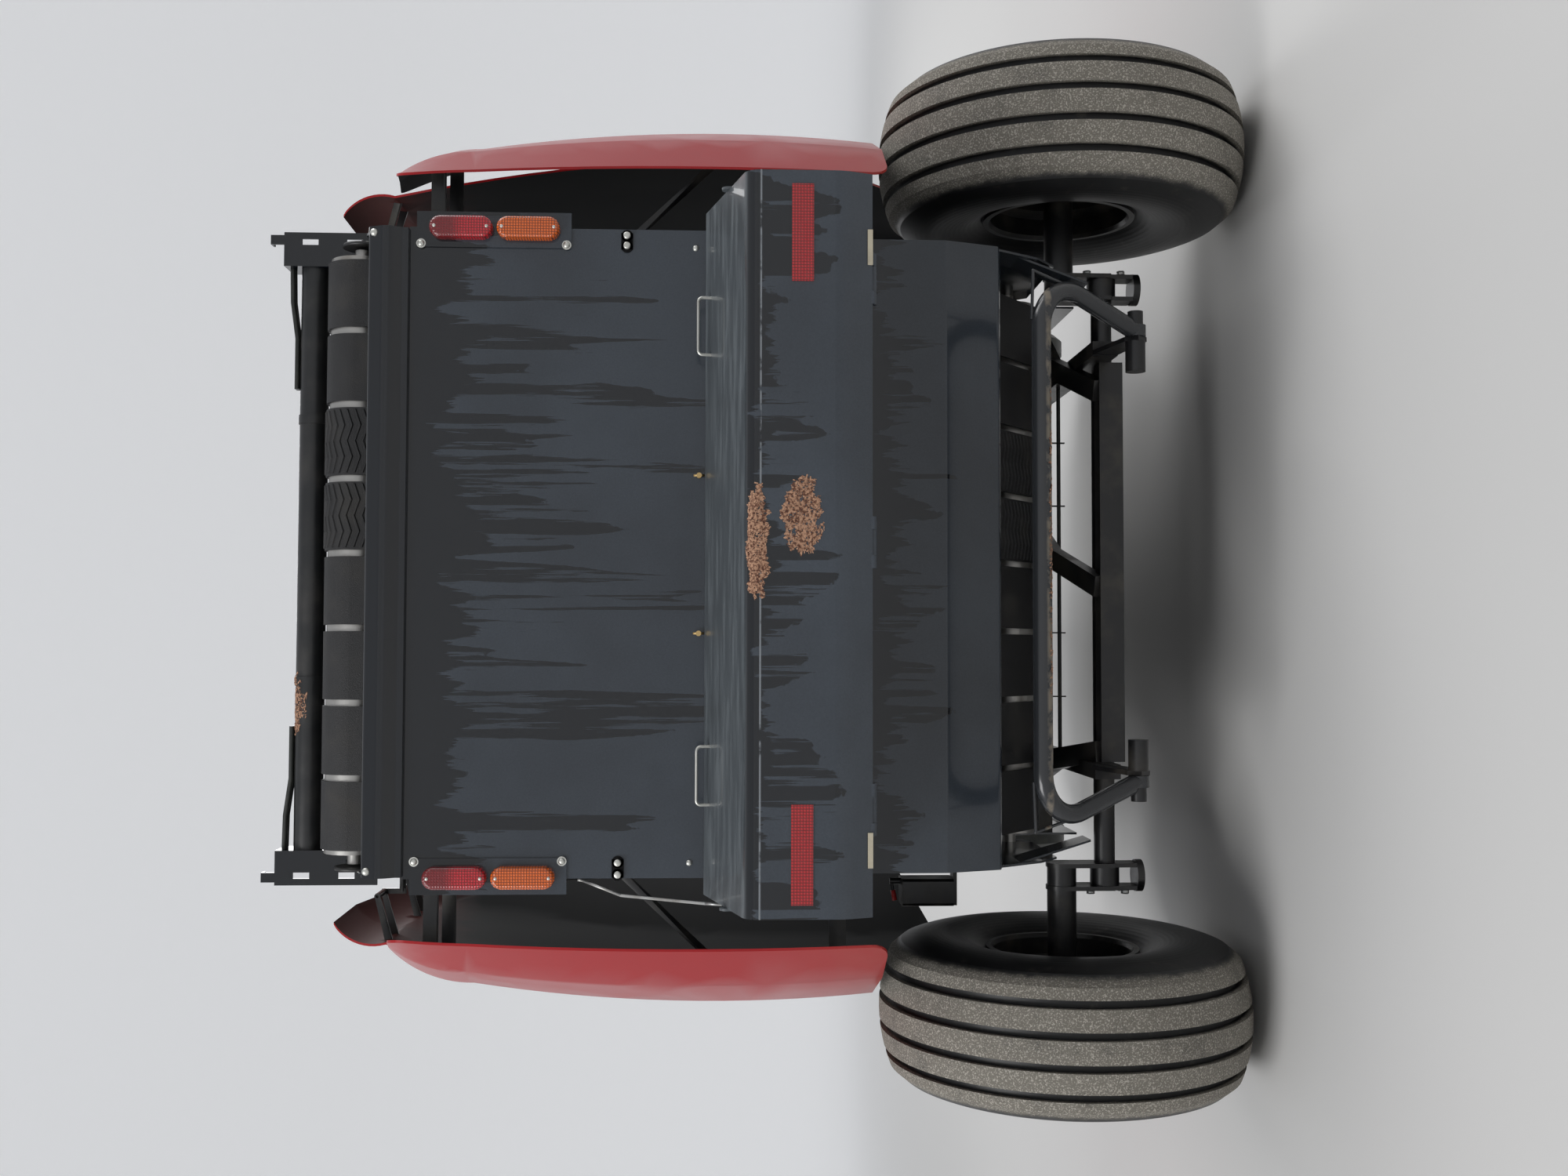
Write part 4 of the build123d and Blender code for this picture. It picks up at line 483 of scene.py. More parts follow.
def ribbed_lens(name, colour, smooth_above=None):
    lens = Finish(name)
    waves = [lens.maths("SINE", lens.times(lens.axis(letter), lens_ribs)) for letter in "XZ"]
    grid = lens.maths("MAXIMUM", *waves)
    lines = lens.sharpen(grid, 0.5, 0.95)
    if smooth_above:
        smooth = lens.sharpen(lens.axis("Z"), smooth_above - split_fade, smooth_above + split_fade)
        lines = lens.maths("MAXIMUM", lines, lens.times(smooth, 0.85))
    lens.set(lens.blend(lines, colour, [c * 0.22 for c in colour]), 0.12, coat=0.5)
    lens.bump(grid, 0.5, 0.0012)
    return lens.material


red_lens = ribbed_lens("red_lens", (0.56, 0.010, 0.020), red_lens_split)
amber_lens = ribbed_lens("amber_lens", (0.78, 0.135, 0.010))
reflector_red = ribbed_lens("reflector_red", (0.50, 0.010, 0.014))
hose_rubber = dusty_paint("hose_rubber", (0.010, 0.012, 0.010), (0.05, 0.05, 0.04), 0.5, 0.4, 30)
guard_plastic = dusty_paint("guard_plastic", (0.014, 0.014, 0.014), (0.07, 0.065, 0.055), 0.5, 0.5, 15)
cream_paint = dusty_paint("cream_paint", (0.55, 0.50, 0.38), (0.30, 0.26, 0.20), 0.5, 0.5, 20)
lever_red = dusty_paint("lever_red", (0.55, 0.02, 0.02), (0.25, 0.10, 0.08), 0.3, 0.35, 20)


def straw():
    """Dry chaff, each flake a little lighter or darker than the next."""
    flakes = Finish("chaff")
    tone = flakes.sharpen(flakes.noise(190, 3.0), 0.38, 0.66)
    flakes.set(flakes.blend(tone, (0.52, 0.30, 0.19), (0.10, 0.034, 0.019)), 0.85)
    return flakes.material


chaff = straw()
print("lenses and plastics made")

# %% [markdown]
# Every solid of the frame now gets its finish. A table names the nodes of each one, so that a reader sees
# what is painted, what is bare and what is rubber.

# %% Dress the frame's nodes
dress = {
    rear_sheet_paint: ["gate_rear_sheet", "gate_top_rail", "lamp_plates"],
    lower_sheet_paint: ["gate_lower_panel"],
    cover_paint: ["net_cover", "net_box"],
    side_sheet_paint: ["chamber_sides", "gate_sides", "front_panel"],
    frame_paint: ["axle", "base_frame", "crossmembers", "drawbar", "wind_guard", "jack_tube", "pickup_frame",
                  "shield_carriers", "lift_barrel_left", "lift_barrel_right", "shaft_cradle", "oiler"],
    tube_paint: ["gate_top_tube"],
    kicker_finish: ["kicker_bar"],
    cast_paint: ["gearbox", "hitch_clevis"],
    rim_paint: ["rim_left", "rim_right"],
    shield_paint: ["rear_shield_left", "rear_shield_right", "front_shield_left", "front_shield_right"],
    tyre_finish: ["tyre_left", "tyre_right"],
    belt_finish: ["gate_belts", "front_belts"],
    roller_steel: ["front_rollers", "gate_rollers", "net_feed_rollers", "feed_floor", "feed_rotor"],
    bright_steel: ["left_sprockets", "left_chains", "driveline_yoke", "pickup_reel", "jack_leg"],
    galvanised: ["pickup_bands"],
    zinc_plate: ["cover_handles"],
    chrome_rod: ["lift_rod_left", "lift_rod_right"],
    red_lens: ["red_lamps"],
    amber_lens: ["amber_lamps"],
    reflector_red: ["reflectors"],
    hose_rubber: ["gate_hoses", "gauge_wheel_left", "gauge_wheel_right"],
    guard_plastic: ["driveline_rear", "driveline_front"],
}
for finish, names in dress.items():
    for name in names:
        nodes[name].data.materials.clear()
        nodes[name].data.materials.append(finish)
dressed = [name for names in dress.values() for name in names]
print("dressed", len(dressed), "left", sorted(set(nodes) - set(dressed)))

# %% [markdown]
# A shield is red outside and black inside. Its solid is copied, the copy's doubled points are merged, and
# each face that looks towards the machine takes the lining, or the frame's paint where it is on a bracket.
# The copy's normals are then evened out by face size, so that the gloss runs smoothly, and the finished skin
# stands for the solid.

# %% Shields, red outside and black inside
bracket_spans = {
    # the stretches along Y and in height that hold the brackets' faces, in millimetres
    "rear": (((-302, -292), (98, 108)), (1140, 2385)),
    "front": (((293, 397), (738, 842)), (2380, 2580)),
}
shield_bodies = {
    "rear_shield_left": "tailgate", "rear_shield_right": "tailgate",
    "front_shield_left": "shield_left", "front_shield_right": "shield_right",
}
doubled = 1e-5
bracket_turn = 0.6
inner_turn = -0.05
smooth_turn = 0.3
sharp_angle = math.radians(30)


def merged_copy(node, name):
    """A copy of a frame node with its doubled points merged."""
    work = bmesh.new()
    work.from_mesh(nodes[node].data)
    bmesh.ops.remove_doubles(work, verts=work.verts, dist=doubled)
    return from_bmesh(name, work)


def on_bracket(polygon, kind):
    """Whether a face lies on one of the shield's brackets."""
    y = (polygon.center.y + axle_behind_middle) * 1000
    z = polygon.center.z * 1000
    stretches, (low_z, high_z) = bracket_spans[kind]
    return low_z < z < high_z and any(low < y < high for low, high in stretches)


for node, body in shield_bodies.items():
    side = 1 if node.endswith("right") else -1
    kind = node.split("_")[0]
    shell = merged_copy(node, node + "_copy")
    for finish in (shield_paint, liner_paint if kind == "rear" else shield_lining, frame_paint):
        shell.data.materials.append(finish)
    for polygon in shell.data.polygons:
        out = side * polygon.normal.x
        if abs(out) < bracket_turn and on_bracket(polygon, kind):
            polygon.material_index = 2
        elif out < inner_turn:
            polygon.material_index = 1
        polygon.use_smooth = abs(out) > smooth_turn
    shell.data.set_sharp_from_angle(angle=sharp_angle)
    even = shell.modifiers.new("even_normals", "WEIGHTED_NORMAL")
    even.weight = 100
    even.keep_sharp = True
    shell = bake(node + "_skin", shell)
    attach(shell, body)
    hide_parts(node)
print("shields", len(shield_bodies))

# %% [markdown]
# Belts and chains both run round circles: a straight stretch, then an arc, then the next straight. One
# function walks that path. `turn` says on which side of the path the circles lie.

# %% The path of a belt or a chain
gate_rollers = ((-325, 2485, 80), (-385, 1010, 50), (100, 665, 80))
gate_path_start = (265, 2571, 0)
gate_path_end = (180, 745, 0)
belt_thickness = 8
drive_sprockets = ((1660, 1130, 70), (1330, 880, 80), (480, 590, 90))
front_sprockets = ((1660, 1130, 52), (1470, 1500, 90))
chain_middle = 11
arc_step = 0.12
whole_turn = 6.28


def wrapped_path(circles, offset, turn, closed):
    """Points (y, z) of a band round circles, each (y, z, radius)."""
    count = len(circles)
    spans = count if closed else count - 1
    normals = []
    for index in range(spans):
        y0, z0, r0 = circles[index]
        y1, z1, r1 = circles[(index + 1) % count]
        distance = math.hypot(y1 - y0, z1 - z0)
        along = ((y1 - y0) / distance, (z1 - z0) / distance)
        lean = (r0 - r1) / distance
        out = turn * math.sqrt(1 - lean * lean)
        normals.append(math.atan2(along[1] * lean + along[0] * out, along[0] * lean - along[1] * out))
    points = []
    for index, (y, z, radius) in enumerate(circles):
        before = normals[index - 1] if closed or index > 0 else normals[0]
        after = normals[index] if index < spans else normals[-1]
        sweep = (turn * (before - after)) % (2 * math.pi)
        steps = math.ceil(sweep / arc_step) if sweep < whole_turn else 0
        for step in range(steps + 1):
            angle = before - turn * sweep * step / max(steps, 1)
            points.append((y + (radius + offset) * math.cos(angle), z + (radius + offset) * math.sin(angle)))
    return points


def path_curve(name, x, points, closed):
    """A poly curve at one x, from points in y and z."""
    data = bpy.data.curves.new(name, "CURVE")
    data.dimensions = "3D"
    line = data.splines.new("POLY")
    line.points.add(len(points) - 1)
    for point, (y, z) in zip(line.points, points):
        point.co = (*place(x, y, z), 1.0)
    line.use_cyclic_u = closed
    return add_object(name, data)


gate_path = wrapped_path((gate_path_start, *gate_rollers, gate_path_end), belt_thickness, -1, False)
print("gate belt path points", len(gate_path))

# %% [markdown]
# Whatever repeats along such a path is one small Geometry Nodes tree: resample the curve at a pitch, put one
# copy on each point, turn it to the curve's direction, then realize it. The path stays in one plane across
# X, so the turn has X as its pivot and no copy can twist. The chaff's tree, further on, starts and ends in
# the same way, so three helpers hold what both share. Each row of links runs from an output to an input.

# %% Copies along a path


def new_tree(name, inputs):
    """A tree with a geometry input, more inputs by name and kind, and a geometry output."""
    tree = bpy.data.node_groups.new(name, "GeometryNodeTree")
    sockets = [tree.interface.new_socket(label, in_out="INPUT", socket_type="NodeSocket" + kind)
               for label, kind in (("Geometry", "Geometry"), *inputs)]
    tree.interface.new_socket("Geometry", in_out="OUTPUT", socket_type="NodeSocketGeometry")
    return tree, tree.nodes.new("NodeGroupInput"), [socket.identifier for socket in sockets[1:]]


def link_all(tree, rows):
    for start, output, end, socket in rows:
        tree.links.new(start.outputs[output], end.inputs[socket])


def realize_and_colour(tree, start, instance):
    """The end of a tree: its copies become real and take the finish."""
    realize = tree.nodes.new("GeometryNodeRealizeInstances")
    colour = tree.nodes.new("GeometryNodeSetMaterial")
    end = tree.nodes.new("NodeGroupOutput")
    link_all(tree, (
        (instance, "Instances", realize, "Geometry"),
        (realize, "Geometry", colour, "Geometry"),
        (start, "Finish", colour, "Material"),
        (colour, "Geometry", end, "Geometry"),
    ))


def copies_tree():
    """A tree that sets one object along a curve, at a pitch."""
    inputs = (("Pattern", "Object"), ("Pitch", "Float"), ("Finish", "Material"))
    tree, start, sockets = new_tree("copies_along_path", inputs)
    add = tree.nodes.new
    resample = add("GeometryNodeResampleCurve")
    resample.mode = "LENGTH"
    tangent = add("GeometryNodeInputTangent")
    align = add("FunctionNodeAlignRotationToVector")
    align.axis = "Y"
    align.pivot_axis = "X"
    info = add("GeometryNodeObjectInfo")
    instance = add("GeometryNodeInstanceOnPoints")
    link_all(tree, (
        (start, "Geometry", resample, "Curve"),
        (start, "Pitch", resample, "Length"),
        (resample, "Curve", instance, "Points"),
        (tangent, "Tangent", align, "Vector"),
        (align, "Rotation", instance, "Rotation"),
        (start, "Pattern", info, "Object"),
        (info, "Geometry", instance, "Instance"),
    ))
    realize_and_colour(tree, start, instance)
    return tree, sockets


def grow(carrier, tree, sockets, values):
    """Give an object a tree, with the values of its inputs."""
    modifier = carrier.modifiers.new("copies", "NODES")
    modifier.node_group = tree
    for socket, value in zip(sockets, values):
        modifier[socket] = value


along_tree, along_sockets = copies_tree()


def copies_along(name, curve, pattern, pitch, finish):
    grow(curve, along_tree, along_sockets, (pattern, pitch / 1000, finish))
    return bake(name, curve)


def join(name, pieces):
    """Several mesh objects as one, in the first one's finish."""
    work = bmesh.new()
    for piece in pieces:
        work.from_mesh(piece.data)
    made = from_bmesh(name, work)
    made.data.materials.append(pieces[0].data.materials[0])
    for piece in pieces:
        bpy.data.objects.remove(piece, do_unlink=True)
    print(name, "triangles", sum(len(polygon.vertices) - 2 for polygon in made.data.polygons))
    return made


print("tree inputs", along_sockets)

# %% [markdown]
# The fifth and sixth belts from the left carry a moulded zigzag. One row is a thin bar bent three times
# across the belt, and the tree repeats it all the way round.

# %% Zigzag belts
zigzag_belts = (4, 5)
zigzag_pitch = 21
zigzag_swing = 14
zigzag_bends = 4
zigzag_width = 9
zigzag_rise = 3
zigzag_sink = 0.5
zigzag_margin = 6


def zigzag_row():
    """One row, across X, with its travel along Y and its rise along -Z, the belt's outer side."""
    half = belt_width / 2 - zigzag_margin / 1000
    section = ((-zigzag_width, -zigzag_sink), (zigzag_width, -zigzag_sink),
               (zigzag_width / 2, zigzag_rise), (-zigzag_width / 2, zigzag_rise))
    vertices = []
    faces = []
    for index in range(zigzag_bends + 1):
        x = -half + 2 * half * index / zigzag_bends
        shift = zigzag_swing / 2000 * (1 if index % 2 else -1)
        vertices += [(x, shift + y / 2000, -z / 1000) for y, z in section]
    for index in range(zigzag_bends):
        a = index * 4
        for corner in range(4):
            following = (corner + 1) % 4
            faces.append((a + corner, a + 4 + corner, a + 4 + following, a + following))
    faces.append((3, 2, 1, 0))
    last = zigzag_bends * 4
    faces.append((last, last + 1, last + 2, last + 3))
    return new_piece("zigzag_row", vertices, faces, belt_finish)


row = zigzag_row()
rows = []
for index in zigzag_belts:
    x = (-belt_edge + index * belt_pitch + belt_width / 2) * 1000
    curve = path_curve("zigzag_path", x, gate_path, False)
    rows.append(copies_along("zigzag", curve, row, zigzag_pitch, belt_finish))
zigzag = join("zigzag_ridges", rows)
bpy.data.objects.remove(row, do_unlink=True)
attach(zigzag, "tailgate")

# %% [markdown]
# The drive chains are plain bands in the drawing. Here each gets its links: two pairs of oval side plates,
# with a roller and a pin between them.

# %% Chain links
chain_pitch = 25.4
chain_rows = ((drive_sprockets, -823.3), (front_sprockets, -847.3))
plate_places = (-6.6, -4.0, 4.0, 6.6)
plate_half = 0.9
plate_end = 9.0
plate_radius = 6.5
roller_and_pin = ((6.0, 6.4), (2.6, 15.4))


def chain_link():
    """One link, its plates across X, its roller and pin given by radius and width."""
    link = bmesh.new()
    outline = []
    for end in (-1, 1):
        for step in range(7):
            angle = math.radians(step * 30 - end * 90)
            outline.append((end * plate_end + plate_radius * math.cos(angle), plate_radius * math.sin(angle)))
    for x in plate_places:
        low, high = [[link.verts.new(((x + dx) / 1000, y / 1000, z / 1000)) for y, z in outline]
                     for dx in (-plate_half, plate_half)]
        link.faces.new(low[::-1])
        link.faces.new(high)
        for corner in range(len(outline)):
            following = (corner + 1) % len(outline)
            link.faces.new((low[corner], low[following], high[following], high[corner]))
    for radius, width in roller_and_pin:
        made = bmesh.ops.create_cone(link, cap_ends=True, segments=12, radius1=radius / 1000,
                                     radius2=radius / 1000, depth=width / 1000)["verts"]
        bmesh.ops.rotate(link, cent=(0, 0, 0), matrix=Matrix.Rotation(math.radians(90), 3, "Y"), verts=made)
    return from_bmesh("chain_link", link)


link_pattern = chain_link()
loops = []
for sprockets, x in chain_rows:
    curve = path_curve("chain_path", x, wrapped_path(sprockets, chain_middle, 1, True), True)
    loops.append(copies_along("chain_links", curve, link_pattern, chain_pitch, bright_steel))
chain = join("drive_chains", loops)
bpy.data.objects.remove(link_pattern, do_unlink=True)
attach(chain, "frame")
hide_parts("left_chains")

# %% [markdown]
# The small hardware that shows from behind: silver heads on the lamp plates and the rail, two latches with
# plated screws, brass pins above the cover, and a screw at each end of each lens.

# %% Screws, latches and pins at the rear
plate_face_y = -538
lens_face_y = -568
lamp_centre_x = 822
plate_screws = ((-783, 2290), (783, 2290), (-783, 1921), (783, 1921))
sheet_screws = ((-789, 1601), (781, 1591))
latch_screws = ((-817, 1781), (-787, 1781), (783, 1767), (809, 1767))
latch_plates = ((-833, -771, 1781), (767, 825, 1767))
rail_screws = ((-805, 2405), (805, 2405))
brass_places = (-209, 194)
brass_height = 1580
brass_bar = 14
brass_bar_y = rear_sheet_y - 8
lens_heights = (2187, 2017)
lens_screw_reach = 66
latch_half = 15
latch_path = ((-831, -524, 1882), (-834, -524, 1868), (-868, -545, 1772), (-887, -560, 1560),
              (-887, -575, 1520), (-855, -590, 1500))

silver = Parcel()
for x, z in plate_screws:
    silver.rod((x, plate_face_y + 2, z), (x, plate_face_y - 2, z), 12)
    silver.dome((x, plate_face_y - 2, z), 9, 7)
for x, z in sheet_screws:
    silver.dome((x, rear_sheet_y, z), 8, 6)
for x, z in latch_screws:
    silver.rod((x, rear_sheet_y - 4, z), (x, rear_sheet_y - 14, z), 9)
    silver.dome((x, rear_sheet_y - 14, z), 9, 3)
for x, z in rail_screws:
    silver.dome((x, rear_sheet_y - 22, z), 10, 8)
for side in (-1, 1):
    for height in lens_heights:
        for end in (-1, 1):
            silver.dome((side * lamp_centre_x, lens_face_y + 1, height + end * lens_screw_reach), 4.5, 3)
silver.piece("rear_screws", zinc_plate, "tailgate")

plates = Parcel()
back, front = rear_sheet_y + 1, rear_sheet_y - 5
for low_x, high_x, z in latch_plates:
    plates.box((low_x + 8, front, z - latch_half), (high_x - 8, back, z + latch_half))
    for x in (low_x + latch_half, high_x - latch_half):
        plates.rod((x, back, z), (x, front, z), latch_half, 24)
plates.piece("latch_plates", liner_paint, "tailgate")

pins = Parcel()
for x in brass_places:
    pins.rod((x, rear_sheet_y + 1, brass_height), (x, rear_sheet_y - 12, brass_height), 7)
    pins.rod((x, brass_bar_y, brass_height - brass_bar), (x, brass_bar_y, brass_height + brass_bar), 3)
pins.piece("brass_pins", brass_pin, "tailgate")

latch = Parcel()
latch.wire(latch_path, 4)
latch.piece("latch_rod", bright_steel, "tailgate")
print("rear hardware made")

# %% [markdown]
# Wheel nuts, clamp bolts on the axle, flanged bearings outside the side sheets, the cream marks on the
# cover's lip and the red grip on the oiler's lever are parcels too.

# %% Nuts, bearings and marks
wheel_middle_x = -44
nut_circle = 102
nut_count = 8
nut_radius = 14
nut_inner = 44
nut_outer = 58
for side_name, side in (("left", -1), ("right", 1)):
    nuts = Parcel()
    middle = wheel_middle_x + side * half_track
    for index in range(nut_count):
        angle = math.radians(index * 360 / nut_count + 22.5)
        y = nut_circle * math.cos(angle)
        z = axle_height + nut_circle * math.sin(angle)
        nuts.rod((middle + side * nut_inner, y, z), (middle + side * nut_outer, y, z), nut_radius, 6)
    nuts.piece("wheel_nuts_" + side_name, galvanised, "wheel_" + side_name)

frame_rollers = ((1230, 2390), (1470, 1500), (1330, 880), (480, 590))
bearing_radius = 52
bearing_depth = 9
bearing_bolt_circle = 0.72 * bearing_radius
bearing_bolt_head = 3
frame_face = 807.3
gate_face = 821.3
for body, face, rollers in (("frame", frame_face, frame_rollers), ("tailgate", gate_face, gate_rollers)):
    bearings = Parcel()
    heads = Parcel()
    outer = face + bearing_depth
    for side in (-1, 1):
        for y, z, *_ in rollers:
            bearings.rod((side * face, y, z), (side * outer, y, z), bearing_radius, 28)
            for step in range(3):
                angle = math.radians(90 + step * 120)
                spot = (y + bearing_bolt_circle * math.cos(angle), z + bearing_bolt_circle * math.sin(angle))
                heads.rod((side * outer, *spot), (side * (outer + bearing_bolt_head), *spot), 6, 6)
    bearings.piece(body + "_bearings", cast_paint, body)
    heads.piece(body + "_bearing_bolts", zinc_plate, body)

clamp_face = 897
clamp_bolts = ((-28, 352), (28, 352), (-28, 452), (28, 452))
clamps = Parcel()
for side in (-1, 1):
    outer = wheel_middle_x + side * clamp_face
    for y, z in clamp_bolts:
        clamps.rod((outer, y, z), (outer + side * 10, y, z), 12, 6)
clamps.piece("axle_clamp_bolts", galvanised, "frame")

lip_marks = ((-753, -672), (650, 733))
cream = Parcel()
for low_x, high_x in lip_marks:
    cream.box((low_x, -902, 1172), (high_x, -893, 1184))
cream.piece("lip_marks", cream_paint, "cover")

grip_ends = ((-984, 270, 991), (-1015, 270, 985.2))
lever = Parcel()
lever.rod(*grip_ends, 7.5)
lever.piece("oiler_lever_grip", lever_red, "frame")
print("nuts and marks made")

# %% [markdown]
# Chaff lies where a bale's dust falls: on the left of the top tube, on the cover's shelf and face, and in a
# line under the kicker. A patch is laid on the real surface by rays, with a ragged edge from a fixed noise,
# and a second tree scatters thin flakes over it.

# %% Chaff
clump_scale = 32.0
clump_edge = (0.30, 0.46)
flake_turns = (0.0, 6.283)
flake_sizes = (0.4, 1.3)
half_long = 0.0045
half_wide = 0.0014
flake_rise = 0.0012
flake_foot = 0.0003


def flakes_tree():
    """A tree that scatters an object over a mesh's faces."""
    inputs = (("Flake", "Object"), ("Density", "Float"), ("Seed", "Int"), ("Finish", "Material"))
    tree, start, sockets = new_tree("scattered_flakes", inputs)
    add = tree.nodes.new
    scatter = add("GeometryNodeDistributePointsOnFaces")
    cloud = add("ShaderNodeTexNoise")
    cloud.inputs["Scale"].default_value = clump_scale
    clumps = add("ShaderNodeMapRange")
    clumps.inputs["From Min"].default_value, clumps.inputs["From Max"].default_value = clump_edge
    thin = add("ShaderNodeMath")
    thin.operation = "MULTIPLY"
    lie = add("FunctionNodeRandomValue")
    size = add("FunctionNodeRandomValue")
    for draw, (low, high) in ((lie, flake_turns), (size, flake_sizes)):
        draw.data_type = "FLOAT"
        draw.inputs[2].default_value = low
        draw.inputs[3].default_value = high
    spin = add("ShaderNodeCombineXYZ")
    turn = add("FunctionNodeRotateRotation")
    turn.rotation_space = "LOCAL"
    euler = add("FunctionNodeEulerToRotation")
    info = add("GeometryNodeObjectInfo")
    instance = add("GeometryNodeInstanceOnPoints")
    link_all(tree, (
        (start, "Geometry", scatter, "Mesh"),
        (cloud, "Fac", clumps, "Value"),
        (clumps, "Result", thin, 0),
        (start, "Density", thin, 1),
        (thin, "Value", scatter, "Density"),
        (start, "Seed", scatter, "Seed"),
        (start, "Seed", lie, "Seed"),
        (start, "Seed", size, "Seed"),
        (scatter, "Points", instance, "Points"),
        (lie, 1, spin, "Z"),
        (spin, "Vector", euler, "Euler"),
        (scatter, "Rotation", turn, "Rotation"),
        (euler, "Rotation", turn, "Rotate By"),
        (turn, "Rotation", instance, "Rotation"),
        (size, 1, instance, "Scale"),
        (start, "Flake", info, "Object"),
        (info, "Geometry", instance, "Instance"),
    ))
    realize_and_colour(tree, start, instance)
    return tree, sockets


scatter_tree, scatter_sockets = flakes_tree()
ridge = [(-half_long, flake_foot), (0, flake_rise), (half_long, flake_foot)]
flake_points = [(x, -half_wide, z) for x, z in ridge] + [(x, half_wide, z) for x, z in ridge[::-1]]
flake = new_piece("flake", flake_points, [(0, 1, 4, 5), (1, 2, 3, 4)], None)
chaff_patches = (
    # name, node, body, middle, half along X, half across, ray's way, flakes per m2, seed
    ("tube", "gate_top_tube", "tailgate", (-400, -236, 2660), 80, 14, (0, 0, -1), 60000, 3),
    ("bend", "net_cover", "cover", (-6, -910, 1437), 126, 23, (0, 0.8, -0.6), 120000, 5),
    ("face", "net_cover", "cover", (60, -916, 1337), 92, 44, (0, 1, 0), 120000, 8),
    ("kicker", "kicker_bar", "kicker", (5, -690, 712), 425, 6, (0, 0.9, 0.436), 24000, 11),
)
patch_cell = 5
patch_margin = 1.3
oval_size = 0.85
edge_waves = (3.1, 2.3)
edge_swing = 0.9
edge_shift = 0.15
patch_lift = 0.0004
ray_back = 0.1
ray_reach = 0.25


def ragged_patch(name, node, middle, half_x, half_across, ray, seed):
    """Cells laid on a node's surface, kept inside an oval whose edge a noise pulls in and out."""
    surface = BVHTree.FromPolygons([v.co for v in nodes[node].data.vertices],
                                   [p.vertices for p in nodes[node].data.polygons])
    way = Vector(ray)
    side = Vector((1, 0, 0))
    across = side.cross(way)
    columns = math.ceil(patch_margin * half_x / patch_cell)
    rows = math.ceil(patch_margin * half_across / patch_cell)
    spots = {}
    faces = []

    def spot(column, row):
        if (column, row) not in spots:
            start = place(*middle) + side * (column * patch_cell / 1000) + across * (row * patch_cell / 1000)
            hit, normal, _, _ = surface.ray_cast(start - way * ray_back, way, ray_reach)
            spots[column, row] = hit + normal * patch_lift if hit else None
        return spots[column, row]

    for column in range(-columns, columns):
        for row in range(-rows, rows):
            u, v = (column + 0.5) * patch_cell / half_x, (row + 0.5) * patch_cell / half_across
            wave = noise.noise(Vector((u * edge_waves[0] + seed, v * edge_waves[1], seed)))
            ragged = wave * edge_swing + edge_shift
            corners = [(column, row), (column + 1, row), (column + 1, row + 1), (column, row + 1)]
            if u * u + v * v < oval_size + ragged and all(spot(*corner) for corner in corners):
                faces.append(corners)
    order = {corner: index for index, corner in enumerate(sorted({c for face in faces for c in face}))}
    vertices = [spots[corner] for corner in order]
    return new_piece(name, vertices, [[order[c] for c in face] for face in faces], None)


for name, node, body, middle, half_x, half_across, ray, density, seed in chaff_patches:
    patch = ragged_patch("patch_" + name, node, middle, half_x, half_across, ray, seed)
    cells = len(patch.data.polygons)
    grow(patch, scatter_tree, scatter_sockets, (flake, float(density), seed, chaff))
    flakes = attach(bake("chaff_" + name, patch), body)
    print("chaff", name, "cells", cells, "faces", len(flakes.data.polygons) if flakes else 0)
bpy.data.objects.remove(flake, do_unlink=True)

# %% [markdown]
# The camera stands where the photographer stood, behind the machine and a little to its left, at head
# height. The phone was held upright but the picture is kept on its side, so the camera is rolled a quarter
# turn: its right is the machine's down.

# %% Camera
camera_place = Vector((-0.2105, -5.754, 1.5351))
camera_yaw = math.radians(2.38)
camera_pitch = math.radians(-2.535)
camera_roll = math.radians(0.223)
forward = Vector((math.sin(camera_yaw) * math.cos(camera_pitch),
                  math.cos(camera_yaw) * math.cos(camera_pitch), math.sin(camera_pitch)))
level_right = Vector((math.cos(camera_yaw), -math.sin(camera_yaw), 0))
level_up = level_right.cross(forward)
picture_right = level_right * math.cos(camera_roll) + level_up * math.sin(camera_roll)
picture_up = level_up * math.cos(camera_roll) - level_right * math.sin(camera_roll)
camera_data = bpy.data.cameras.new("camera")
camera_data.sensor_width = 36.0
camera_data.lens = 35.1
camera = add_object("camera", camera_data)
axes = Matrix((-picture_up, picture_right, -forward)).transposed()
camera.matrix_world = Matrix.Translation(camera_place) @ axes.to_4x4()
bpy.context.scene.camera = camera
print("camera at", tuple(camera_place))

# %% [markdown]
# The studio is a pale floor under a pale sky, with three large soft lamps. The strongest is behind the camera
# and shapes the sheets. The wall glows only towards the camera and in mirrors, so that gloss paint has
# something pale to show, while the light on the machine comes from the lamps and the sky alone.

# %% Floor and light
glow_reach = (4.5, 16.0)
glow_strength = 0.4
bowl_flat = 13.0
bowl_curve = 7.0
bowl_wall_top = 17.0
bowl_sides = 96
bowl_steps = 14

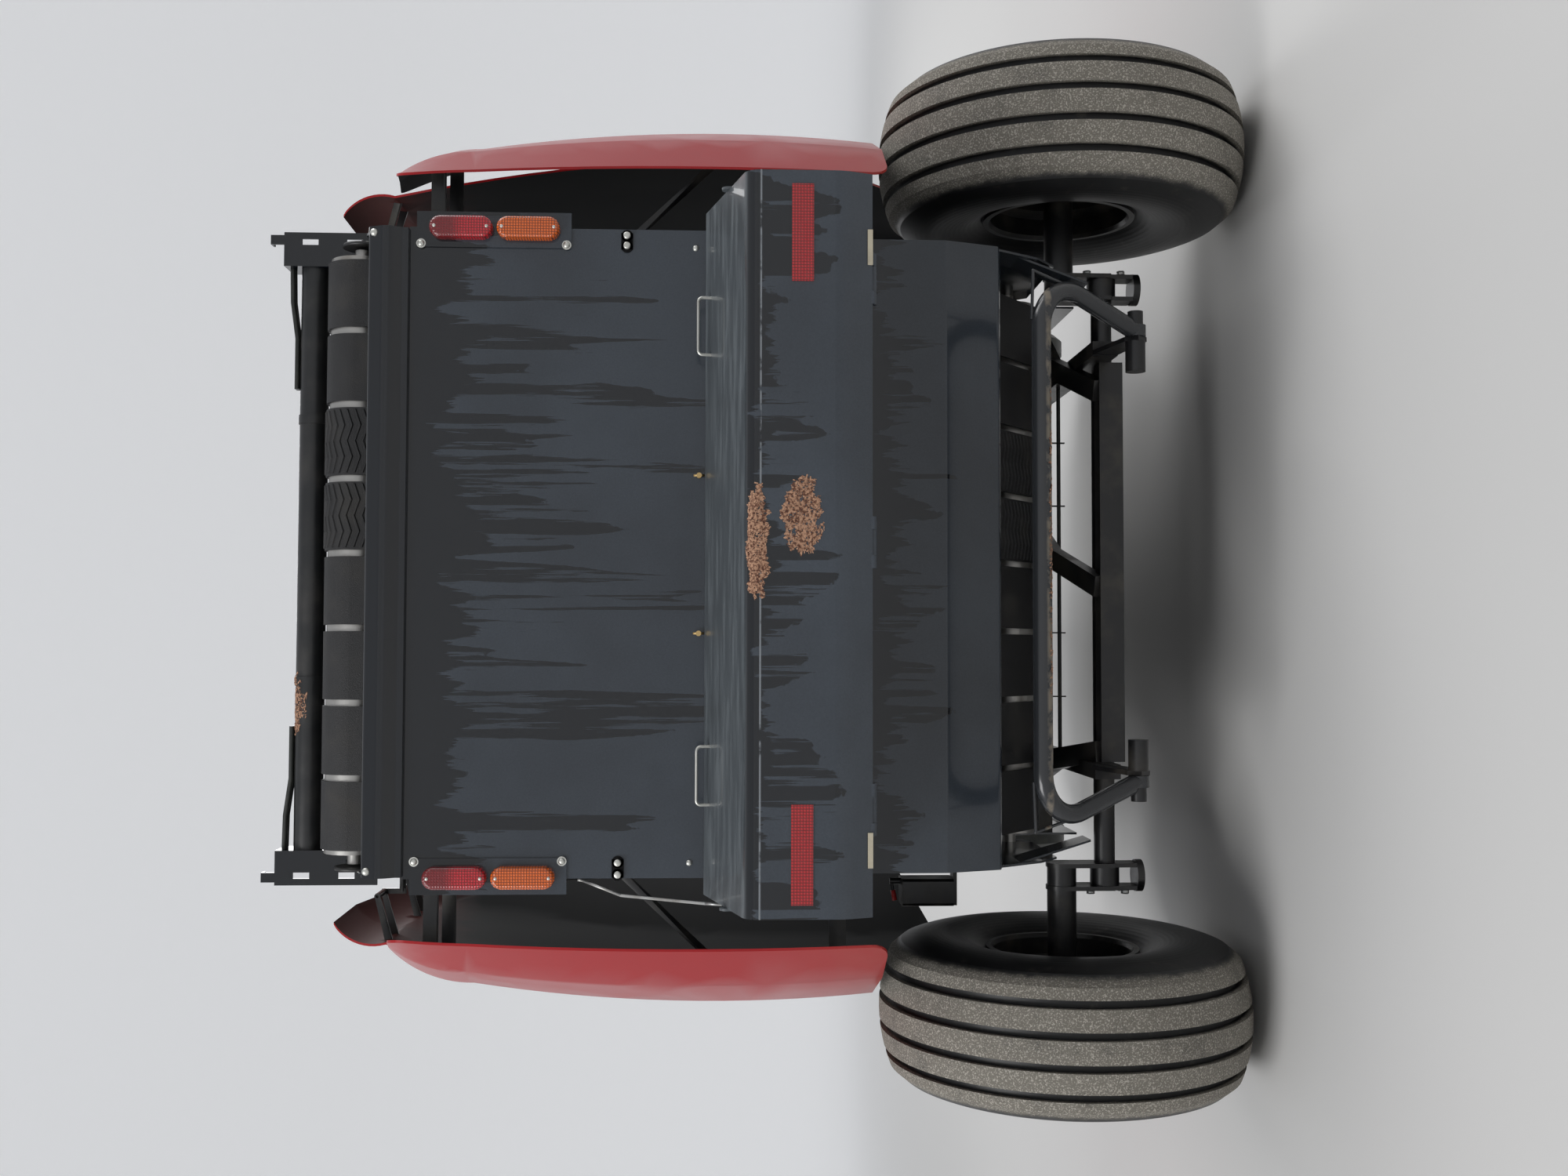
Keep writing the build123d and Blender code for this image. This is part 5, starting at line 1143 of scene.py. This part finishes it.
floor = Finish("floor_finish")
floor.set((0.66, 0.655, 0.645), 0.9)
seen = floor.node("ShaderNodeLightPath", {}).outputs
to_camera = floor.plus(floor.plus(seen["Is Camera Ray"], seen["Is Glossy Ray"]), seen["Is Transmission Ray"])
reach = floor.span(floor.axis("X"), floor.axis("Y"))
glow = floor.times(floor.sharpen(reach, *glow_reach), glow_strength, to_camera)
floor.shader.inputs["Emission Color"].default_value = (0.90, 0.92, 0.96, 1.0)
floor.wire(glow, floor.shader.inputs["Emission Strength"])


def studio_bowl():
    """A flat round floor that curves up into a wall on all sides."""
    profile = []
    for step in range(bowl_steps + 1):
        angle = math.radians(90 * step / bowl_steps)
        profile.append((bowl_flat + bowl_curve * math.sin(angle), bowl_curve * (1 - math.cos(angle))))
    profile.append((bowl_flat + bowl_curve, bowl_wall_top))
    vertices = [(0, 0, 0)]
    faces = []
    for radius, height in profile:
        for side in range(bowl_sides):
            angle = 2 * math.pi * side / bowl_sides
            vertices.append((radius * math.cos(angle), radius * math.sin(angle), height))
    for side in range(bowl_sides):
        following = (side + 1) % bowl_sides
        faces.append((0, 1 + side, 1 + following))
        for step in range(bowl_steps + 1):
            low, high = 1 + step * bowl_sides, 1 + (step + 1) * bowl_sides
            faces.append((low + side, high + side, high + following, low + following))
    bowl = new_piece("floor", vertices, faces, floor.material)
    bowl.data.shade_smooth()
    return bowl


studio_bowl()

world = bpy.data.worlds.new("studio")
world.use_nodes = True
bpy.context.scene.world = world
background = world.node_tree.nodes["Background"]
background.inputs["Color"].default_value = (0.86, 0.88, 0.92, 1.0)
background.inputs["Strength"].default_value = 0.6

lamp_aim = Vector((0, 0, 1.2))
lamp_size = 4.0
lamps = (("key", (-4.5, -6.0, 6.5), 360), ("fill", (6.0, -1.0, 5.0), 190), ("front", (2.0, 7.0, 5.5), 230))
for name, spot, power in lamps:
    lamp_data = bpy.data.lights.new(name, "AREA")
    lamp_data.size = lamp_size
    lamp_data.energy = power
    turn = (lamp_aim - Vector(spot)).to_track_quat("-Z", "Y").to_matrix().to_4x4()
    add_object(name, lamp_data).matrix_world = Matrix.Translation(spot) @ turn
bpy.context.scene.view_settings.view_transform = "Standard"
print("studio ready")
